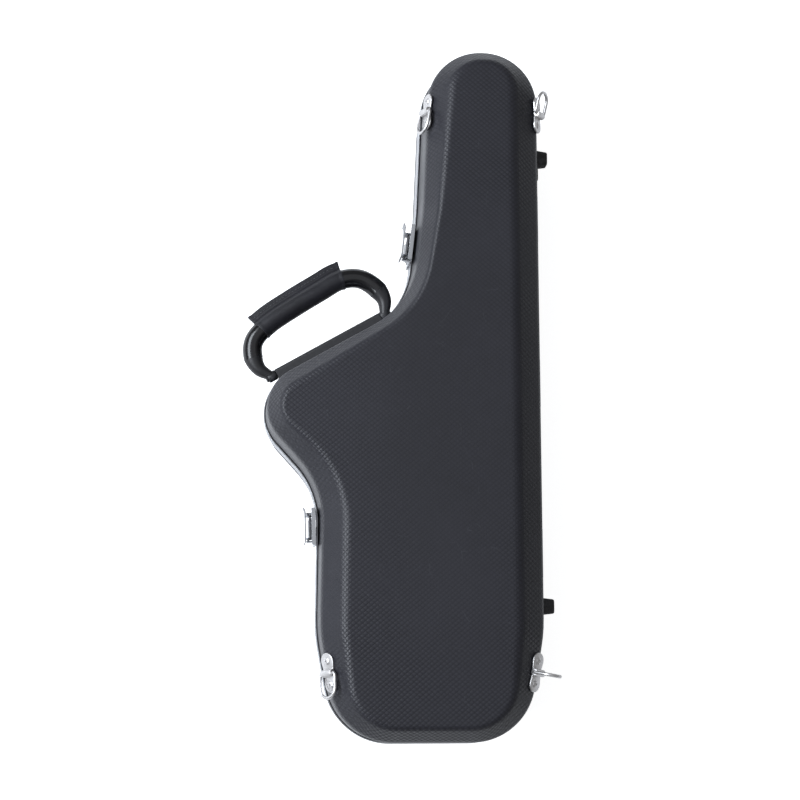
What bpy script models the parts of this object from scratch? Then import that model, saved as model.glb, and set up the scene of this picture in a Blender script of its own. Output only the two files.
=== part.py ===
"""Alto saxophone case, a shaped hard case lying on its back shell.

The case is two moulded shells joined along a straight spine at +X. The neck end points to +Y,
the lobe for the bell to -X, and the lid faces +Z. The origin is on the back shell's flat face,
at the middle of the lower body. All lengths are in metres and all angles in degrees.
"""

import math

import bmesh
import bpy
from mathutils import Matrix, Vector

# Outline of the parting edge, measured from the spine and from the two ends
CASE_LENGTH = 0.660
BODY_WIDTH = 0.2116
BOTTOM_WIDTH = 0.1748
BOTTOM_RADIUS = 0.0725
TAPER_RISE = 0.101
TAPER_RADIUS = 0.150
TOP_RADIUS = 0.0555
NECK_TOP_WIDTH = 0.1098
NECK_MID_WIDTH = 0.1171
NECK_MID_DROP = 0.160
NECK_MID_RADIUS = 0.200
NECK_FOOT_WIDTH = 0.1272
NECK_FOOT_DROP = 0.2511
NECK_FOOT_RADIUS = 0.081
LOBE_REACH = 0.2869
LOBE_DROP = 0.3428
LOBE_RADIUS = 0.043
WAIST_WIDTH = 0.2104
WAIST_DROP = 0.4267
WAIST_RADIUS = 0.080
ARC_STEP_DEG = 17.0
FINE_STEP_DEG = 2.0

# Cross-section of the shells, as insets from the parting edge and heights above it
LID_DEPTH = 0.077
LID_WALL_HEIGHT = 0.056
BASE_DEPTH = 0.088
BASE_WALL_HEIGHT = 0.066
WALL_DRAFT = 0.002
CREST_INSET = 0.028
BEND_RADIUS = 0.010
CREST_RADIUS = 0.018
SECTION_STEP_DEG = 28.0
SHELL_THICKNESS = 0.003

# How far in the crest stands before and after each corner of the outline
CREST_INSETS = (
    (0.0167, 0.021), (0.028, 0.028), (0.029, 0.020), (0.020, 0.0245), (0.0175, 0.0175),
    (0.012, 0.013), (0.018, 0.025), (0.025, 0.024), (0.024, 0.024), (0.0195, 0.0167))

# Aluminium valances that hold the shells' edges
SEAT_GAP = 0.0003
PART_GAP = 0.0003
VALANCE_HEIGHT = 0.012
VALANCE_FLANGE = 0.0012
VALANCE_WEB = 0.0018
VALANCE_INNER_HEIGHT = 0.008
VALANCE_LIP_HEIGHT = 0.003
VALANCE_GROOVE_HEIGHT = 0.0045
VALANCE_GROOVE_DEPTH = 0.0005
SEAL_WIDTH = 0.0022
SEAL_DEPTH = 0.0012

# Foam linings and the hollow that the instrument lies in
LINING_MARGIN = 0.0004
BASE_LINING_DROP = 0.001
LID_LINING_RISE = 0.0042
HOLLOW_SIDES = 16
BODY_TUBE_X = 0.050
BODY_TUBE_TOP_DROP = 0.030
BODY_TUBE_TOP_RADIUS = 0.024
BODY_TUBE_FOOT_RADIUS = 0.042
BODY_TUBE_LEAN = 0.012
BOW_RISE = 0.108
BOW_RADIUS = 0.046
BOW_TUBE_RADIUS = 0.041
BELL_PIPE_RADIUS = 0.037
BELL_RIM_RADIUS = 0.062
BELL_RIM_X = -0.088
BELL_RIM_DROP = 0.330
BELL_LEAN_DEG = 30.0

# Hinges on the spine
HINGE_COUNT = 3
HINGE_CENTRE_Y = 0.012
HINGE_PITCH = 0.165
HINGE_LENGTH = 0.046
HINGE_LEAF_HEIGHT = 0.0116
HINGE_LEAF_THICKNESS = 0.0014
HINGE_KNUCKLE_RADIUS = 0.003
HINGE_KNUCKLE_LENGTH = 0.0156
HINGE_WALL_GAP = 0.0005
HINGE_PIN_RADIUS = 0.0015
HINGE_PIN_HEAD_RADIUS = 0.0024
HINGE_PIN_HEAD_LENGTH = 0.001
HINGE_RIVET_PITCH = 0.015

# Draw latches on the left edge, levers on the lid and catches on the base
LATCH_UPPER_DROP = 0.1873
LATCH_LOWER_DROP = 0.4608
LATCH_LENGTH = 0.0345
LATCH_PLATE_THICKNESS = 0.0017
LATCH_HOUSING_FOOT = 0.0015
LATCH_HOUSING_TOP = 0.031
LATCH_FLANGE_REACH = 0.0041
LATCH_PIVOT_OUT = 0.0069
LATCH_PIVOT_UP = 0.008
LATCH_EAR_RADIUS = 0.002
LATCH_EAR_THICKNESS = 0.0015
LATCH_EAR_HALF_SPREAD = 0.014
LATCH_STUD_RADIUS = 0.0012
LATCH_LUG_THICKNESS = 0.0014
LATCH_LUG_HALF_SPREAD = 0.0112
LATCH_CLAW_UP = 0.007
LATCH_CLAW_IN = 0.0019
LATCH_CLAW_ROD_RADIUS = 0.001
LATCH_CLAW_HALF_WIDTH = 0.0085
LATCH_CLAW_THICKNESS = 0.0012
LATCH_CLAW_DROP = 0.016
LATCH_TOE_HEIGHT = 0.0026
LATCH_TOE_THICKNESS = 0.0018
LEVER_THICKNESS = 0.0011
LEVER_STAND_OFF = 0.0024
LEVER_FOOT_UP = 0.0032
LEVER_SLOT_UP = 0.0095
LEVER_SLOT_HALF_WIDTH = 0.009
LEVER_FLARE_WIDTH = 0.004
LEVER_FLARE_RISE = 0.0016
CATCH_HEIGHT = 0.0125
CATCH_LEDGE_DROP = 0.0124
CATCH_LEDGE_THICKNESS = 0.0014
CATCH_LEDGE_REACH = 0.0041

# Strap-ring brackets on the lid's four corners
BRACKET_TOP_DROP = 0.066
BRACKET_BOTTOM_RISE = 0.0646
BRACKET_TOP_HEIGHT = 0.056
BRACKET_BOTTOM_HEIGHT = 0.059
BRACKET_LOBE_RADIUS = 0.0074
BRACKET_NECK_HALF_WIDTH = 0.006
BRACKET_RIVET_REACH = 0.0105
BRACKET_THICKNESS = 0.0018
BRACKET_KNUCKLE_RADIUS = 0.0032
BRACKET_KNUCKLE_HALF_LENGTH = 0.007
BRACKET_KNUCKLE_HEIGHT = 0.0037
RIVET_HEAD_RADIUS = 0.0026
RIVET_HEAD_HEIGHT = 0.0011
RING_WIRE_RADIUS = 0.0015
RING_HALF_WIDTH = 0.0095
RING_STRAIGHT = 0.0124
RING_ANGLES_DEG = {"top_left": 8.0, "bottom_left": 12.0, "bottom_right": 90.0, "top_right": 15.0}

# Carrying handle on the sloping shoulder of the base
HANDLE_SHOULDER_SHARE = 0.42
HANDLE_AXIS_DROP = 0.0199
HANDLE_WALL_GAP = 0.0003
HANDLE_MOUNT_LENGTH = 0.1165
HANDLE_MOUNT_HEIGHT = 0.015
HANDLE_MOUNT_BACK = 0.005
HANDLE_MOUNT_STEP = 0.0035
HANDLE_RIB_HEIGHT = 0.010
HANDLE_RIB_COVER = 0.0045
HANDLE_RIB_ROUND = 0.003
HANDLE_HALF_SPAN = 0.0705
HANDLE_RISE = 0.0625
HANDLE_TUBE_RADIUS = 0.0095
HANDLE_CORE_RADIUS = 0.0075
HANDLE_EYE_RADIUS = 0.005
HANDLE_EYE_LENGTH = 0.009
HANDLE_EYE_GAP = 0.0005
HANDLE_TAB_RUN = 0.026
HANDLE_PIN_RADIUS = 0.002
HANDLE_PIN_DEPTH = 0.012
HANDLE_PIN_HEAD_RADIUS = 0.0036
HANDLE_PIN_HEAD_LENGTH = 0.0016
GRIP_RADIUS = 0.0098
GRIP_FLAP_THICKNESS = 0.003
GRIP_FLAP_REACH = 0.0185
HANDLE_STEPS = 23
HANDLE_PATH_SHARES = (
    (1.0, 0.37), (0.986, 0.6), (0.855, 0.81), (0.57, 0.92), (0.14, 0.968),
    (-0.28, 0.992), (-0.595, 1.0), (-0.84, 0.88), (-0.975, 0.64), (-1.0, 0.39))
GRIP_START_SHARE = 0.26
GRIP_END_SHARE = 0.70

# Feet that the case stands on when it is set down on its spine
FOOT_SIZE = 0.016
FOOT_TIP_SIZE = 0.0132
FOOT_REACH = 0.0108
FOOT_EDGE = 0.0012
FOOT_CORNER_RADIUS = 0.003
FOOT_STAND_OFF = 0.025
FOOT_TOP_DROP = 0.1003
FOOT_BOTTOM_RISE = 0.1256

CUT_OVERRUN = 0.001
JOIN_OVERLAP = 0.0005
ROUND_SIDES = 10
SMALL_SIDES = 8

PARTING_Z = BASE_DEPTH
SPINE_X = BODY_WIDTH / 2
TOP_Y = CASE_LENGTH / 2

# Insets from the parting edge that the shells, valances and linings share
SHELL_INSET = VALANCE_FLANGE + SEAT_GAP
INNER_FLANGE_INSET = SHELL_INSET + SHELL_THICKNESS + 2 * SEAT_GAP
VALANCE_DEPTH = INNER_FLANGE_INSET + VALANCE_FLANGE
LID_WEB_TOP = VALANCE_LIP_HEIGHT + PART_GAP + SEAT_GAP + VALANCE_FLANGE
BASE_WEB_TOP = PART_GAP / 2 + SEAL_DEPTH + VALANCE_WEB
LINING_INSET = VALANCE_DEPTH + LINING_MARGIN

# Places that the pieces of the handle share, along its axis from the middle
HANDLE_EYE_PLACE = HANDLE_MOUNT_LENGTH / 2 + HANDLE_EYE_GAP + HANDLE_EYE_LENGTH / 2
HANDLE_PIN_REACH = HANDLE_EYE_PLACE + HANDLE_EYE_LENGTH / 2 + SEAT_GAP

# Places that the pieces of a latch share, outwards from the edge and up from the parting
CLAW_INNER_OUT = CATCH_LEDGE_REACH + SEAT_GAP
CLAW_AXIS_OUT = LATCH_PIVOT_OUT - LATCH_CLAW_IN
CLAW_AXIS_UP = LATCH_PIVOT_UP + LATCH_CLAW_UP

BLACK_SHELL = ("shell_plastic", (0.036, 0.038, 0.044), 0.42, 0.0)
ALUMINIUM = ("valance_aluminium", (0.62, 0.63, 0.66), 0.32, 1.0)
SEAL_RUBBER = ("seal_rubber", (0.02, 0.02, 0.02), 0.8, 0.0)
PLUSH = ("lining_plush", (0.05, 0.05, 0.06), 0.95, 0.0)
STEEL = ("hinge_steel", (0.5, 0.5, 0.52), 0.35, 1.0)
CHROME = ("latch_chrome", (0.75, 0.75, 0.77), 0.15, 1.0)
NICKEL = ("bracket_nickel", (0.72, 0.71, 0.72), 0.22, 1.0)
HANDLE_PLASTIC = ("handle_plastic", (0.05, 0.05, 0.055), 0.5, 0.0)
GRIP_LEATHER = ("grip_leather", (0.06, 0.06, 0.068), 0.6, 0.0)
FOOT_RUBBER = ("foot_rubber", (0.03, 0.03, 0.032), 0.7, 0.0)


def clear_scene():
    """Remove every object, so that the script can be run again."""
    for item in list(bpy.data.objects):
        bpy.data.objects.remove(item)


def new_collection(name):
    """Make a collection in the scene and return it."""
    collection = bpy.data.collections.new(name)
    bpy.context.scene.collection.children.link(collection)
    return collection


def material(look):
    """Return the Principled material of a look, made on its first use."""
    name, colour, roughness, metallic = look
    found = bpy.data.materials.get(name)
    if found:
        return found
    made = bpy.data.materials.new(name)
    made.use_nodes = True
    shader = made.node_tree.nodes["Principled BSDF"]
    shader.inputs["Base Color"].default_value = (*colour, 1)
    shader.inputs["Roughness"].default_value = roughness
    shader.inputs["Metallic"].default_value = metallic
    return made


def place(name, mesh_source, frame=None, look=None):
    """Turn a bmesh into an object at a frame; without a look it is a helper for Booleans."""
    mesh = bpy.data.meshes.new(name)
    mesh_source.to_mesh(mesh)
    mesh_source.free()
    item = bpy.data.objects.new(name, mesh)
    item.matrix_world = frame or Matrix()
    if look:
        mesh.materials.append(material(look))
        mesh.shade_smooth()
        mesh.set_sharp_from_angle(angle=math.radians(35))
        bpy.data.collections["saxophone_case"].objects.link(item)
    else:
        item.hide_render = True
        item.display_type = "WIRE"
        bpy.data.collections["cutters"].objects.link(item)
    return item


def combine(item, other, operation):
    """Join another object to an item, or cut it away, with a Boolean modifier."""
    modifier = item.modifiers.new(operation.lower(), "BOOLEAN")
    modifier.operation = operation
    modifier.object = other
    modifier.solver = "EXACT"


def fuse(item, *others):
    """Join other solids to an item."""
    for other in others:
        combine(item, other, "UNION")


def cut(item, *others):
    """Cut other solids away from an item."""
    for other in others:
        combine(item, other, "DIFFERENCE")


def rounded_path(corners, radii, offset=0.0, closed=True, step_deg=ARC_STEP_DEG):
    """Round the corners of a path and move it to its left.

    The offset is one length, or a pair for each corner: how far the edges before and after it move
    there. Every offset of one path has as many points, so that offset paths can be lofted. A
    radius is limited by the two edges that meet at its corner.
    """
    count = len(corners)
    offsets = offset if isinstance(offset, tuple) else ((offset, offset),) * count
    points = [Vector(corner) for corner in corners]
    moved, arcs, steps = [], [], []
    for i, corner in enumerate(points):
        before = points[i - 1] if closed or i else 2 * corner - points[1]
        after = points[(i + 1) % count] if closed or i < count - 1 else 2 * corner - points[-2]
        way_in, way_out = (corner - before).normalized(), (after - corner).normalized()
        left_in, left_out = Vector((-way_in.y, way_in.x)), Vector((-way_out.y, way_out.x))
        mean, half = sum(offsets[i]) / 2, (offsets[i][1] - offsets[i][0]) / 2
        place = corner + mean * (left_in + left_out) / (1 + left_in.dot(left_out))
        if half:
            place += half * (left_out - left_in) / (1 - left_in.dot(left_out))
        turn = math.atan2(way_in.cross(way_out), way_in.dot(way_out))
        room = min((corner - before).length, (after - corner).length) / 2
        reach = max(math.copysign(1, turn) * part for part in offsets[i])
        moved.append(place)
        steps.append(max(1, round(math.degrees(abs(turn)) / step_deg)))
        rounded = radii[i] and (closed or 0 < i < count - 1)
        tangent = math.tan(abs(turn) / 2)
        arcs.append(max(min(radii[i], room / tangent) - reach, 0.01 * radii[i]) if rounded else 0)
    path = []
    for i, place in enumerate(moved):
        if not arcs[i]:
            path.append(place)
            continue
        way_in, way_out = (place - moved[i - 1]).normalized(), (moved[(i + 1) % count] - place).normalized()
        turn = math.atan2(way_in.cross(way_out), way_in.dot(way_out))
        start = place - arcs[i] * math.tan(abs(turn) / 2) * way_in
        centre = start + math.copysign(arcs[i], turn) * Vector((-way_in.y, way_in.x))
        for step in range(steps[i] + 1):
            path.append(centre + Matrix.Rotation(turn * step / steps[i], 2) @ (start - centre))
    return path


def outline(inset=0.0, step_deg=ARC_STEP_DEG):
    """The case's outline, anticlockwise from the bottom right, moved in by one inset or each corner's."""
    corners = (
        (BOTTOM_WIDTH / 2, -TOP_Y),
        (SPINE_X, -TOP_Y + TAPER_RISE),
        (SPINE_X, TOP_Y),
        (SPINE_X - NECK_TOP_WIDTH, TOP_Y),
        (SPINE_X - NECK_MID_WIDTH, TOP_Y - NECK_MID_DROP),
        (SPINE_X - NECK_FOOT_WIDTH, TOP_Y - NECK_FOOT_DROP),
        (SPINE_X - LOBE_REACH, TOP_Y - LOBE_DROP),
        (SPINE_X - WAIST_WIDTH, TOP_Y - WAIST_DROP),
        (-SPINE_X, -TOP_Y + TAPER_RISE),
        (-BOTTOM_WIDTH / 2, -TOP_Y))
    radii = (BOTTOM_RADIUS, TAPER_RADIUS, TOP_RADIUS, TOP_RADIUS, NECK_MID_RADIUS,
             NECK_FOOT_RADIUS, LOBE_RADIUS, WAIST_RADIUS, TAPER_RADIUS, BOTTOM_RADIUS)
    return rounded_path(corners, radii, inset, step_deg=step_deg)


def shell_section(depth, wall_height, foot, offset=0.0, step_deg=SECTION_STEP_DEG):
    """Heights and insets along a shell's wall, bend, sloping band and crest."""
    corners = (
        (foot, SHELL_INSET),
        (wall_height, SHELL_INSET + WALL_DRAFT),
        (depth, CREST_INSET),
        (depth, CREST_INSET + CREST_RADIUS))
    radii = (0, BEND_RADIUS, CREST_RADIUS, 0)
    return rounded_path(corners, radii, offset, closed=False, step_deg=step_deg)[:-1]


def corner_sections(section, offset=0.0):
    """A pair of sections for each corner of the outline, set out to its crest, then moved in."""
    wall = SHELL_INSET + WALL_DRAFT
    pairs = []
    for insets in CREST_INSETS:
        pair = []
        for crest in insets:
            share = (crest - wall) / (CREST_INSET - wall)
            path = [(height, inset if inset < wall else wall + share * (inset - wall))
                    for height, inset in section]
            pair.append(rounded_path(path, [0] * len(path), offset, closed=False))
        pairs.append(pair)
    return pairs


def insets_at(sections, height):
    """Each corner's pair of insets at a height."""
    return tuple(tuple(inset_at(section, height) for section in pair) for pair in sections)


def inset_at(section, height):
    """The inset where a section first reaches a height."""
    for low, high in zip(section, section[1:]):
        if high.x >= height - SEAT_GAP / 10:
            break
    if high.x - low.x < SEAT_GAP / 10:
        return low.y
    return low.y + min(1, (height - low.x) / (high.x - low.x)) * (high.y - low.y)


def skin(rings, wrap=False, caps=(True, True)):
    """Loft a mesh through closed rings with as many points each.

    With wrap the last ring joins the first, which makes a tube's wall; otherwise the first and
    last rings are closed by the two caps.
    """
    mesh = bmesh.new()
    rows = [[mesh.verts.new(point) for point in ring] for ring in rings]
    pairs = list(zip(rows, rows[1:]))
    if wrap:
        pairs.append((rows[-1], rows[0]))
    for low, high in pairs:
        for i, corner in enumerate(low):
            mesh.faces.new((low[i - 1], corner, high[i], high[i - 1]))
    if not wrap and caps[0]:
        mesh.faces.new(reversed(rows[0]))
    if not wrap and caps[1]:
        mesh.faces.new(rows[-1])
    return mesh


def closed(mesh):
    """Point a closed mesh's faces outwards."""
    bmesh.ops.recalc_face_normals(mesh, faces=mesh.faces)
    return mesh


def slab(points, low, high, axes="XYZ"):
    """Extrude a flat outline from low to high; axes name the outline's two axes and the way."""
    order = ["XYZ".index(axis) for axis in axes]

    def corner(point, height):
        spot = Vector((0, 0, 0))
        for axis, value in zip(order, (point[0], point[1], height)):
            spot[axis] = value
        return spot

    return closed(skin([[corner(point, height) for point in points] for height in (low, high)]))


def block(low, high):
    """A box between two opposite corners."""
    low, high = Vector(low), Vector(high)
    mesh = bmesh.new()
    bmesh.ops.create_cube(mesh, size=1)
    middle = Matrix.Translation((low + high) / 2)
    bmesh.ops.transform(mesh, matrix=middle @ Matrix.Diagonal((*(high - low), 1)), verts=mesh.verts)
    return mesh


def turned(profile, direction, start, sides=ROUND_SIDES):
    """A solid turned on an axis, from pairs of a place along the axis and a radius."""
    direction = Vector(direction).normalized()
    across = direction.orthogonal().normalized()
    beside = direction.cross(across)
    rings = []
    for along, radius in profile:
        centre = Vector(start) + along * direction
        turns = [2 * math.pi * (i + 0.5) / sides for i in range(sides)]
        rings.append([centre + radius * (math.cos(t) * across + math.sin(t) * beside) for t in turns])
    return closed(skin(rings))


def rod(radius, start, end, sides=ROUND_SIDES):
    """A cylinder between two points."""
    length = (Vector(end) - Vector(start)).length
    return turned(((0, radius), (length, radius)), Vector(end) - Vector(start), start, sides)


class Edge:
    """The outline followed by length, which finds frames on the case's sides."""

    def __init__(self):
        self.points = outline(step_deg=FINE_STEP_DEG)
        self.lengths = [0.0]
        for i, point in enumerate(self.points):
            ahead = self.points[(i + 1) % len(self.points)]
            self.lengths.append(self.lengths[-1] + (ahead - point).length)

    def at(self, length):
        """The point and the unit way ahead at a length along the outline."""
        length = length % self.lengths[-1]
        for i, point in enumerate(self.points):
            if self.lengths[i + 1] >= length:
                ahead = self.points[(i + 1) % len(self.points)]
                way = (ahead - point).normalized()
                return point + (length - self.lengths[i]) * way, way
        return self.points[0], (self.points[1] - self.points[0]).normalized()

    def crossing(self, y, side):
        """The length where the outline crosses a level y on its outermost left or right side."""
        best = None
        for i, point in enumerate(self.points):
            ahead = self.points[(i + 1) % len(self.points)]
            if (point.y - y) * (ahead.y - y) <= 0 and point.y != ahead.y:
                share = (y - point.y) / (ahead.y - point.y)
                x = point.x + share * (ahead.x - point.x)
                if best is None or side * x > side * best[0]:
                    best = (x, self.lengths[i] + share * (ahead - point).length)
        return best[1]

    def frame(self, length, inset, height, lift_deg=0.0):
        """A frame on the side: X along the outline, Y up the wall and Z out of it."""
        point, way = self.at(length)
        along = Vector((way.x, way.y, 0))
        out = Vector((way.y, -way.x, 0))
        lift = math.radians(lift_deg)
        normal = math.cos(lift) * out + math.sin(lift) * Vector((0, 0, 1))
        origin = Vector((point.x, point.y, PARTING_Z + height)) - inset * out
        return frame_of(origin, along, normal.cross(along), normal)


def frame_of(origin, x_axis, y_axis, z_axis):
    """A frame from its origin and its three axes."""
    turn = Matrix((x_axis, y_axis, z_axis)).transposed()
    return Matrix.Translation(origin) @ turn.to_4x4()


def lid_surface(edge, length, height):
    """The frame on the lid's outer surface at a height above the parting."""
    fine = shell_section(LID_DEPTH, LID_WALL_HEIGHT, LID_WEB_TOP, step_deg=FINE_STEP_DEG)
    sections = corner_sections(fine)
    point, way = edge.at(length)
    inwards = Vector((-way.y, way.x))
    insets = []
    for level in (height, height + BRACKET_THICKNESS / 2):
        ring = outline(insets_at(sections, level), FINE_STEP_DEG)
        places = []
        for start, end in zip(ring, ring[1:] + ring[:1]):
            low, high = (start - point).dot(way), (end - point).dot(way)
            if low <= 0 < high:
                places.append((start.lerp(end, low / (low - high)) - point).dot(inwards))
        insets.append(min(places, key=abs))
    lift = math.degrees(math.atan2(insets[1] - insets[0], BRACKET_THICKNESS / 2))
    return edge.frame(length, insets[0], height, lift)


def wall_inset(height, wall_height, foot):
    """How far in a shell's drafted wall stands at a height from the parting."""
    return SHELL_INSET + WALL_DRAFT * (height - foot) / (wall_height - foot)


def bulge(middle, way, out, reach):
    """How far the valance's edge stands out of a chord, over a reach to both sides."""
    points = outline()
    most = 0
    for start, end in zip(points, points[1:] + points[:1]):
        low, high = (start - middle).dot(way), (end - middle).dot(way)
        if low < reach and high > -reach and high > low:
            for along in (max(low, -reach), min(high, reach)):
                spot = start.lerp(end, (along - low) / (high - low))
                most = max(most, (spot - middle).dot(out))
    return most


def chord_frame(edge, y):
    """A frame on the left edge that clears the outline over a latch's length."""
    middle = edge.crossing(y, -1)
    ends = [edge.at(middle + way * LATCH_LENGTH / 2)[0] for way in (-1, 1)]
    way = (ends[1] - ends[0]).normalized()
    out = Vector((way.y, -way.x))
    middle = (ends[0] + ends[1]) / 2
    origin = middle + bulge(middle, way, out, LATCH_LENGTH / 2) * out
    return frame_of((origin.x, origin.y, PARTING_Z), Vector((way.x, way.y, 0)), Vector((0, 0, 1)),
                    Vector((out.x, out.y, 0)))


def make_shell(name, depth, wall_height, foot, side):
    """A moulded shell with drafted walls, a sloping band and a rounded crest; side is up or down."""
    rings = []
    section = shell_section(depth, wall_height, foot)
    pairs = corner_sections(section)
    for i, (height, _) in enumerate(section):
        z = PARTING_Z + side * height
        insets = tuple((before[i].y, after[i].y) for before, after in pairs)
        rings.append([Vector((point.x, point.y, z)) for point in outline(insets)])
    mesh = skin(rings, caps=(False, True))
    if side < 0:
        bmesh.ops.reverse_faces(mesh, faces=mesh.faces)
    item = place(name, mesh, look=BLACK_SHELL)
    walls = item.modifiers.new("wall", "SOLIDIFY")
    walls.thickness = SHELL_THICKNESS
    walls.offset = -1
    walls.use_even_offset = True
    walls.use_quality_normals = True
    return item


def make_band(name, section, side, look):
    """A closed band that follows the outline, from pairs of an inset and a height."""
    rings = []
    for inset, height in section:
        z = PARTING_Z + side * height
        rings.append([Vector((point.x, point.y, z)) for point in outline(inset)])
    return place(name, closed(skin(rings, wrap=True)), look=look)


def valance_outer_face():
    """The outer face of a valance with its decorative groove, from the parting upwards."""
    groove = VALANCE_GROOVE_DEPTH
    return [
        (0, PART_GAP / 2),
        (0, VALANCE_GROOVE_HEIGHT - groove),
        (groove, VALANCE_GROOVE_HEIGHT),
        (0, VALANCE_GROOVE_HEIGHT + groove),
        (0, VALANCE_HEIGHT),
        (VALANCE_FLANGE, VALANCE_HEIGHT)]


def make_lid_valance():
    """The lid's valance, stepped to close over the lip of the base."""
    step = VALANCE_LIP_HEIGHT + PART_GAP
    section = valance_outer_face() + [
        (VALANCE_FLANGE, LID_WEB_TOP - SEAT_GAP),
        (INNER_FLANGE_INSET, LID_WEB_TOP - SEAT_GAP),
        (INNER_FLANGE_INSET, VALANCE_INNER_HEIGHT),
        (VALANCE_DEPTH, VALANCE_INNER_HEIGHT),
        (VALANCE_DEPTH, step),
        (INNER_FLANGE_INSET - SEAT_GAP, step),
        (INNER_FLANGE_INSET - SEAT_GAP, PART_GAP / 2)]
    return make_band("lid_valance", section, 1, ALUMINIUM)


def make_base_valance():
    """The base's valance, with a lip that stands up inside the lid and a groove for the seal."""
    middle = INNER_FLANGE_INSET / 2
    groove = SEAL_WIDTH / 2 + SEAT_GAP
    floor = PART_GAP / 2 + SEAL_DEPTH + SEAT_GAP
    section = valance_outer_face() + [
        (VALANCE_FLANGE, BASE_WEB_TOP),
        (INNER_FLANGE_INSET, BASE_WEB_TOP),
        (INNER_FLANGE_INSET, VALANCE_INNER_HEIGHT),
        (VALANCE_DEPTH, VALANCE_INNER_HEIGHT),
        (VALANCE_DEPTH, -VALANCE_LIP_HEIGHT),
        (INNER_FLANGE_INSET, -VALANCE_LIP_HEIGHT),
        (INNER_FLANGE_INSET, PART_GAP / 2),
        (middle + groove, PART_GAP / 2),
        (middle + groove, floor),
        (middle - groove, floor),
        (middle - groove, PART_GAP / 2)]
    return make_band("base_valance", section, -1, ALUMINIUM)


def make_seal():
    """The rubber seal in the groove of the base's valance."""
    middle = INNER_FLANGE_INSET / 2
    low, high = middle - SEAL_WIDTH / 2, middle + SEAL_WIDTH / 2
    top, floor = PART_GAP / 2, PART_GAP / 2 + SEAL_DEPTH
    section = ((low, top), (low, floor), (high, floor), (high, top))
    return make_band("seal", section, -1, SEAL_RUBBER)


def hollow_stations():
    """Centres, ways ahead and radii along the hollow, from the neck end round to the bell."""
    bell_lean = math.radians(BELL_LEAN_DEG)
    rim = Vector((BELL_RIM_X, TOP_Y - BELL_RIM_DROP))
    bell_way = Vector((-math.sin(bell_lean), math.cos(bell_lean)))
    bow_y = -TOP_Y + BOW_RISE
    foot_x = BODY_TUBE_X - BODY_TUBE_LEAN
    top = Vector((BODY_TUBE_X, TOP_Y - BODY_TUBE_TOP_DROP))
    foot = Vector((foot_x, bow_y))
    stations = []
    for share in (0, 0.35, 0.7):
        radius = BODY_TUBE_TOP_RADIUS + share * (BODY_TUBE_FOOT_RADIUS - BODY_TUBE_TOP_RADIUS) / 0.7
        stations.append((top.lerp(foot, share), (foot - top).normalized(), radius))
    steps = 6
    for step in range(steps + 1):
        turn = math.pi * step / steps
        centre = foot + BOW_RADIUS * Vector((math.cos(turn) - 1, -math.sin(turn)))
        way = Vector((-math.sin(turn), -math.cos(turn)))
        stations.append((centre, way, BOW_TUBE_RADIUS))
    pipe = foot - Vector((2 * BOW_RADIUS, 0))
    for share in (0.3, 0.5, 0.7, 0.85, 1.0):
        flare = max(0, (share - 0.3) / 0.7) ** 1.6
        radius = BELL_PIPE_RADIUS + flare * (BELL_RIM_RADIUS - BELL_PIPE_RADIUS)
        lean = Vector((0, 1)).lerp(bell_way, share).normalized()
        middle = pipe.lerp(rim, share)
        sag = share * (1 - share) * (rim.x - pipe.x) / 2
        stations.append((middle - Vector((sag, 0)), lean, radius))
    return stations


def make_hollow():
    """The solid that the linings' hollow is cut with, a pipe that follows the instrument."""
    rings = []
    for centre, way, radius in hollow_stations():
        across = Vector((-way.y, way.x, 0))
        middle = Vector((centre.x, centre.y, PARTING_Z))
        turns = [2 * math.pi * (i + 0.5) / HOLLOW_SIDES for i in range(HOLLOW_SIDES)]
        up = Vector((0, 0, 1))
        rings.append([middle + radius * (math.cos(t) * across + math.sin(t) * up) for t in turns])
    return place("hollow_cutter", closed(skin(rings)))


def make_lining(name, depth, wall_height, foot, start, side, hollow):
    """A foam lining that fills a shell up to the parting, with the instrument's hollow cut out."""
    gap = SHELL_THICKNESS + SEAT_GAP
    heights = [height for height, _ in shell_section(depth, wall_height, foot, gap)[1:]]
    inner = corner_sections(shell_section(depth, wall_height, foot), gap)
    rings = []
    for height in (start, VALANCE_INNER_HEIGHT + SEAT_GAP, *heights):
        z = PARTING_Z + side * height
        insets = tuple(tuple(max(inset, LINING_INSET) for inset in pair)
                       for pair in insets_at(inner, height))
        rings.append([Vector((point.x, point.y, z)) for point in outline(insets)])
    item = place(name, closed(skin(rings)), look=PLUSH)
    cut(item, hollow)
    return item


def rivet_heads(frame, spots, base, radius=RIVET_HEAD_RADIUS, height=RIVET_HEAD_HEIGHT):
    """Low domed rivet heads that stand on a plate, as helpers to be joined to it."""
    heads = []
    for x, y in spots:
        profile = ((-JOIN_OVERLAP, radius), (height, radius / 2))
        mesh = turned(profile, (0, 0, 1), (x, y, base), SMALL_SIDES)
        heads.append(place("rivet_head", mesh, frame))
    return heads


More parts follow.
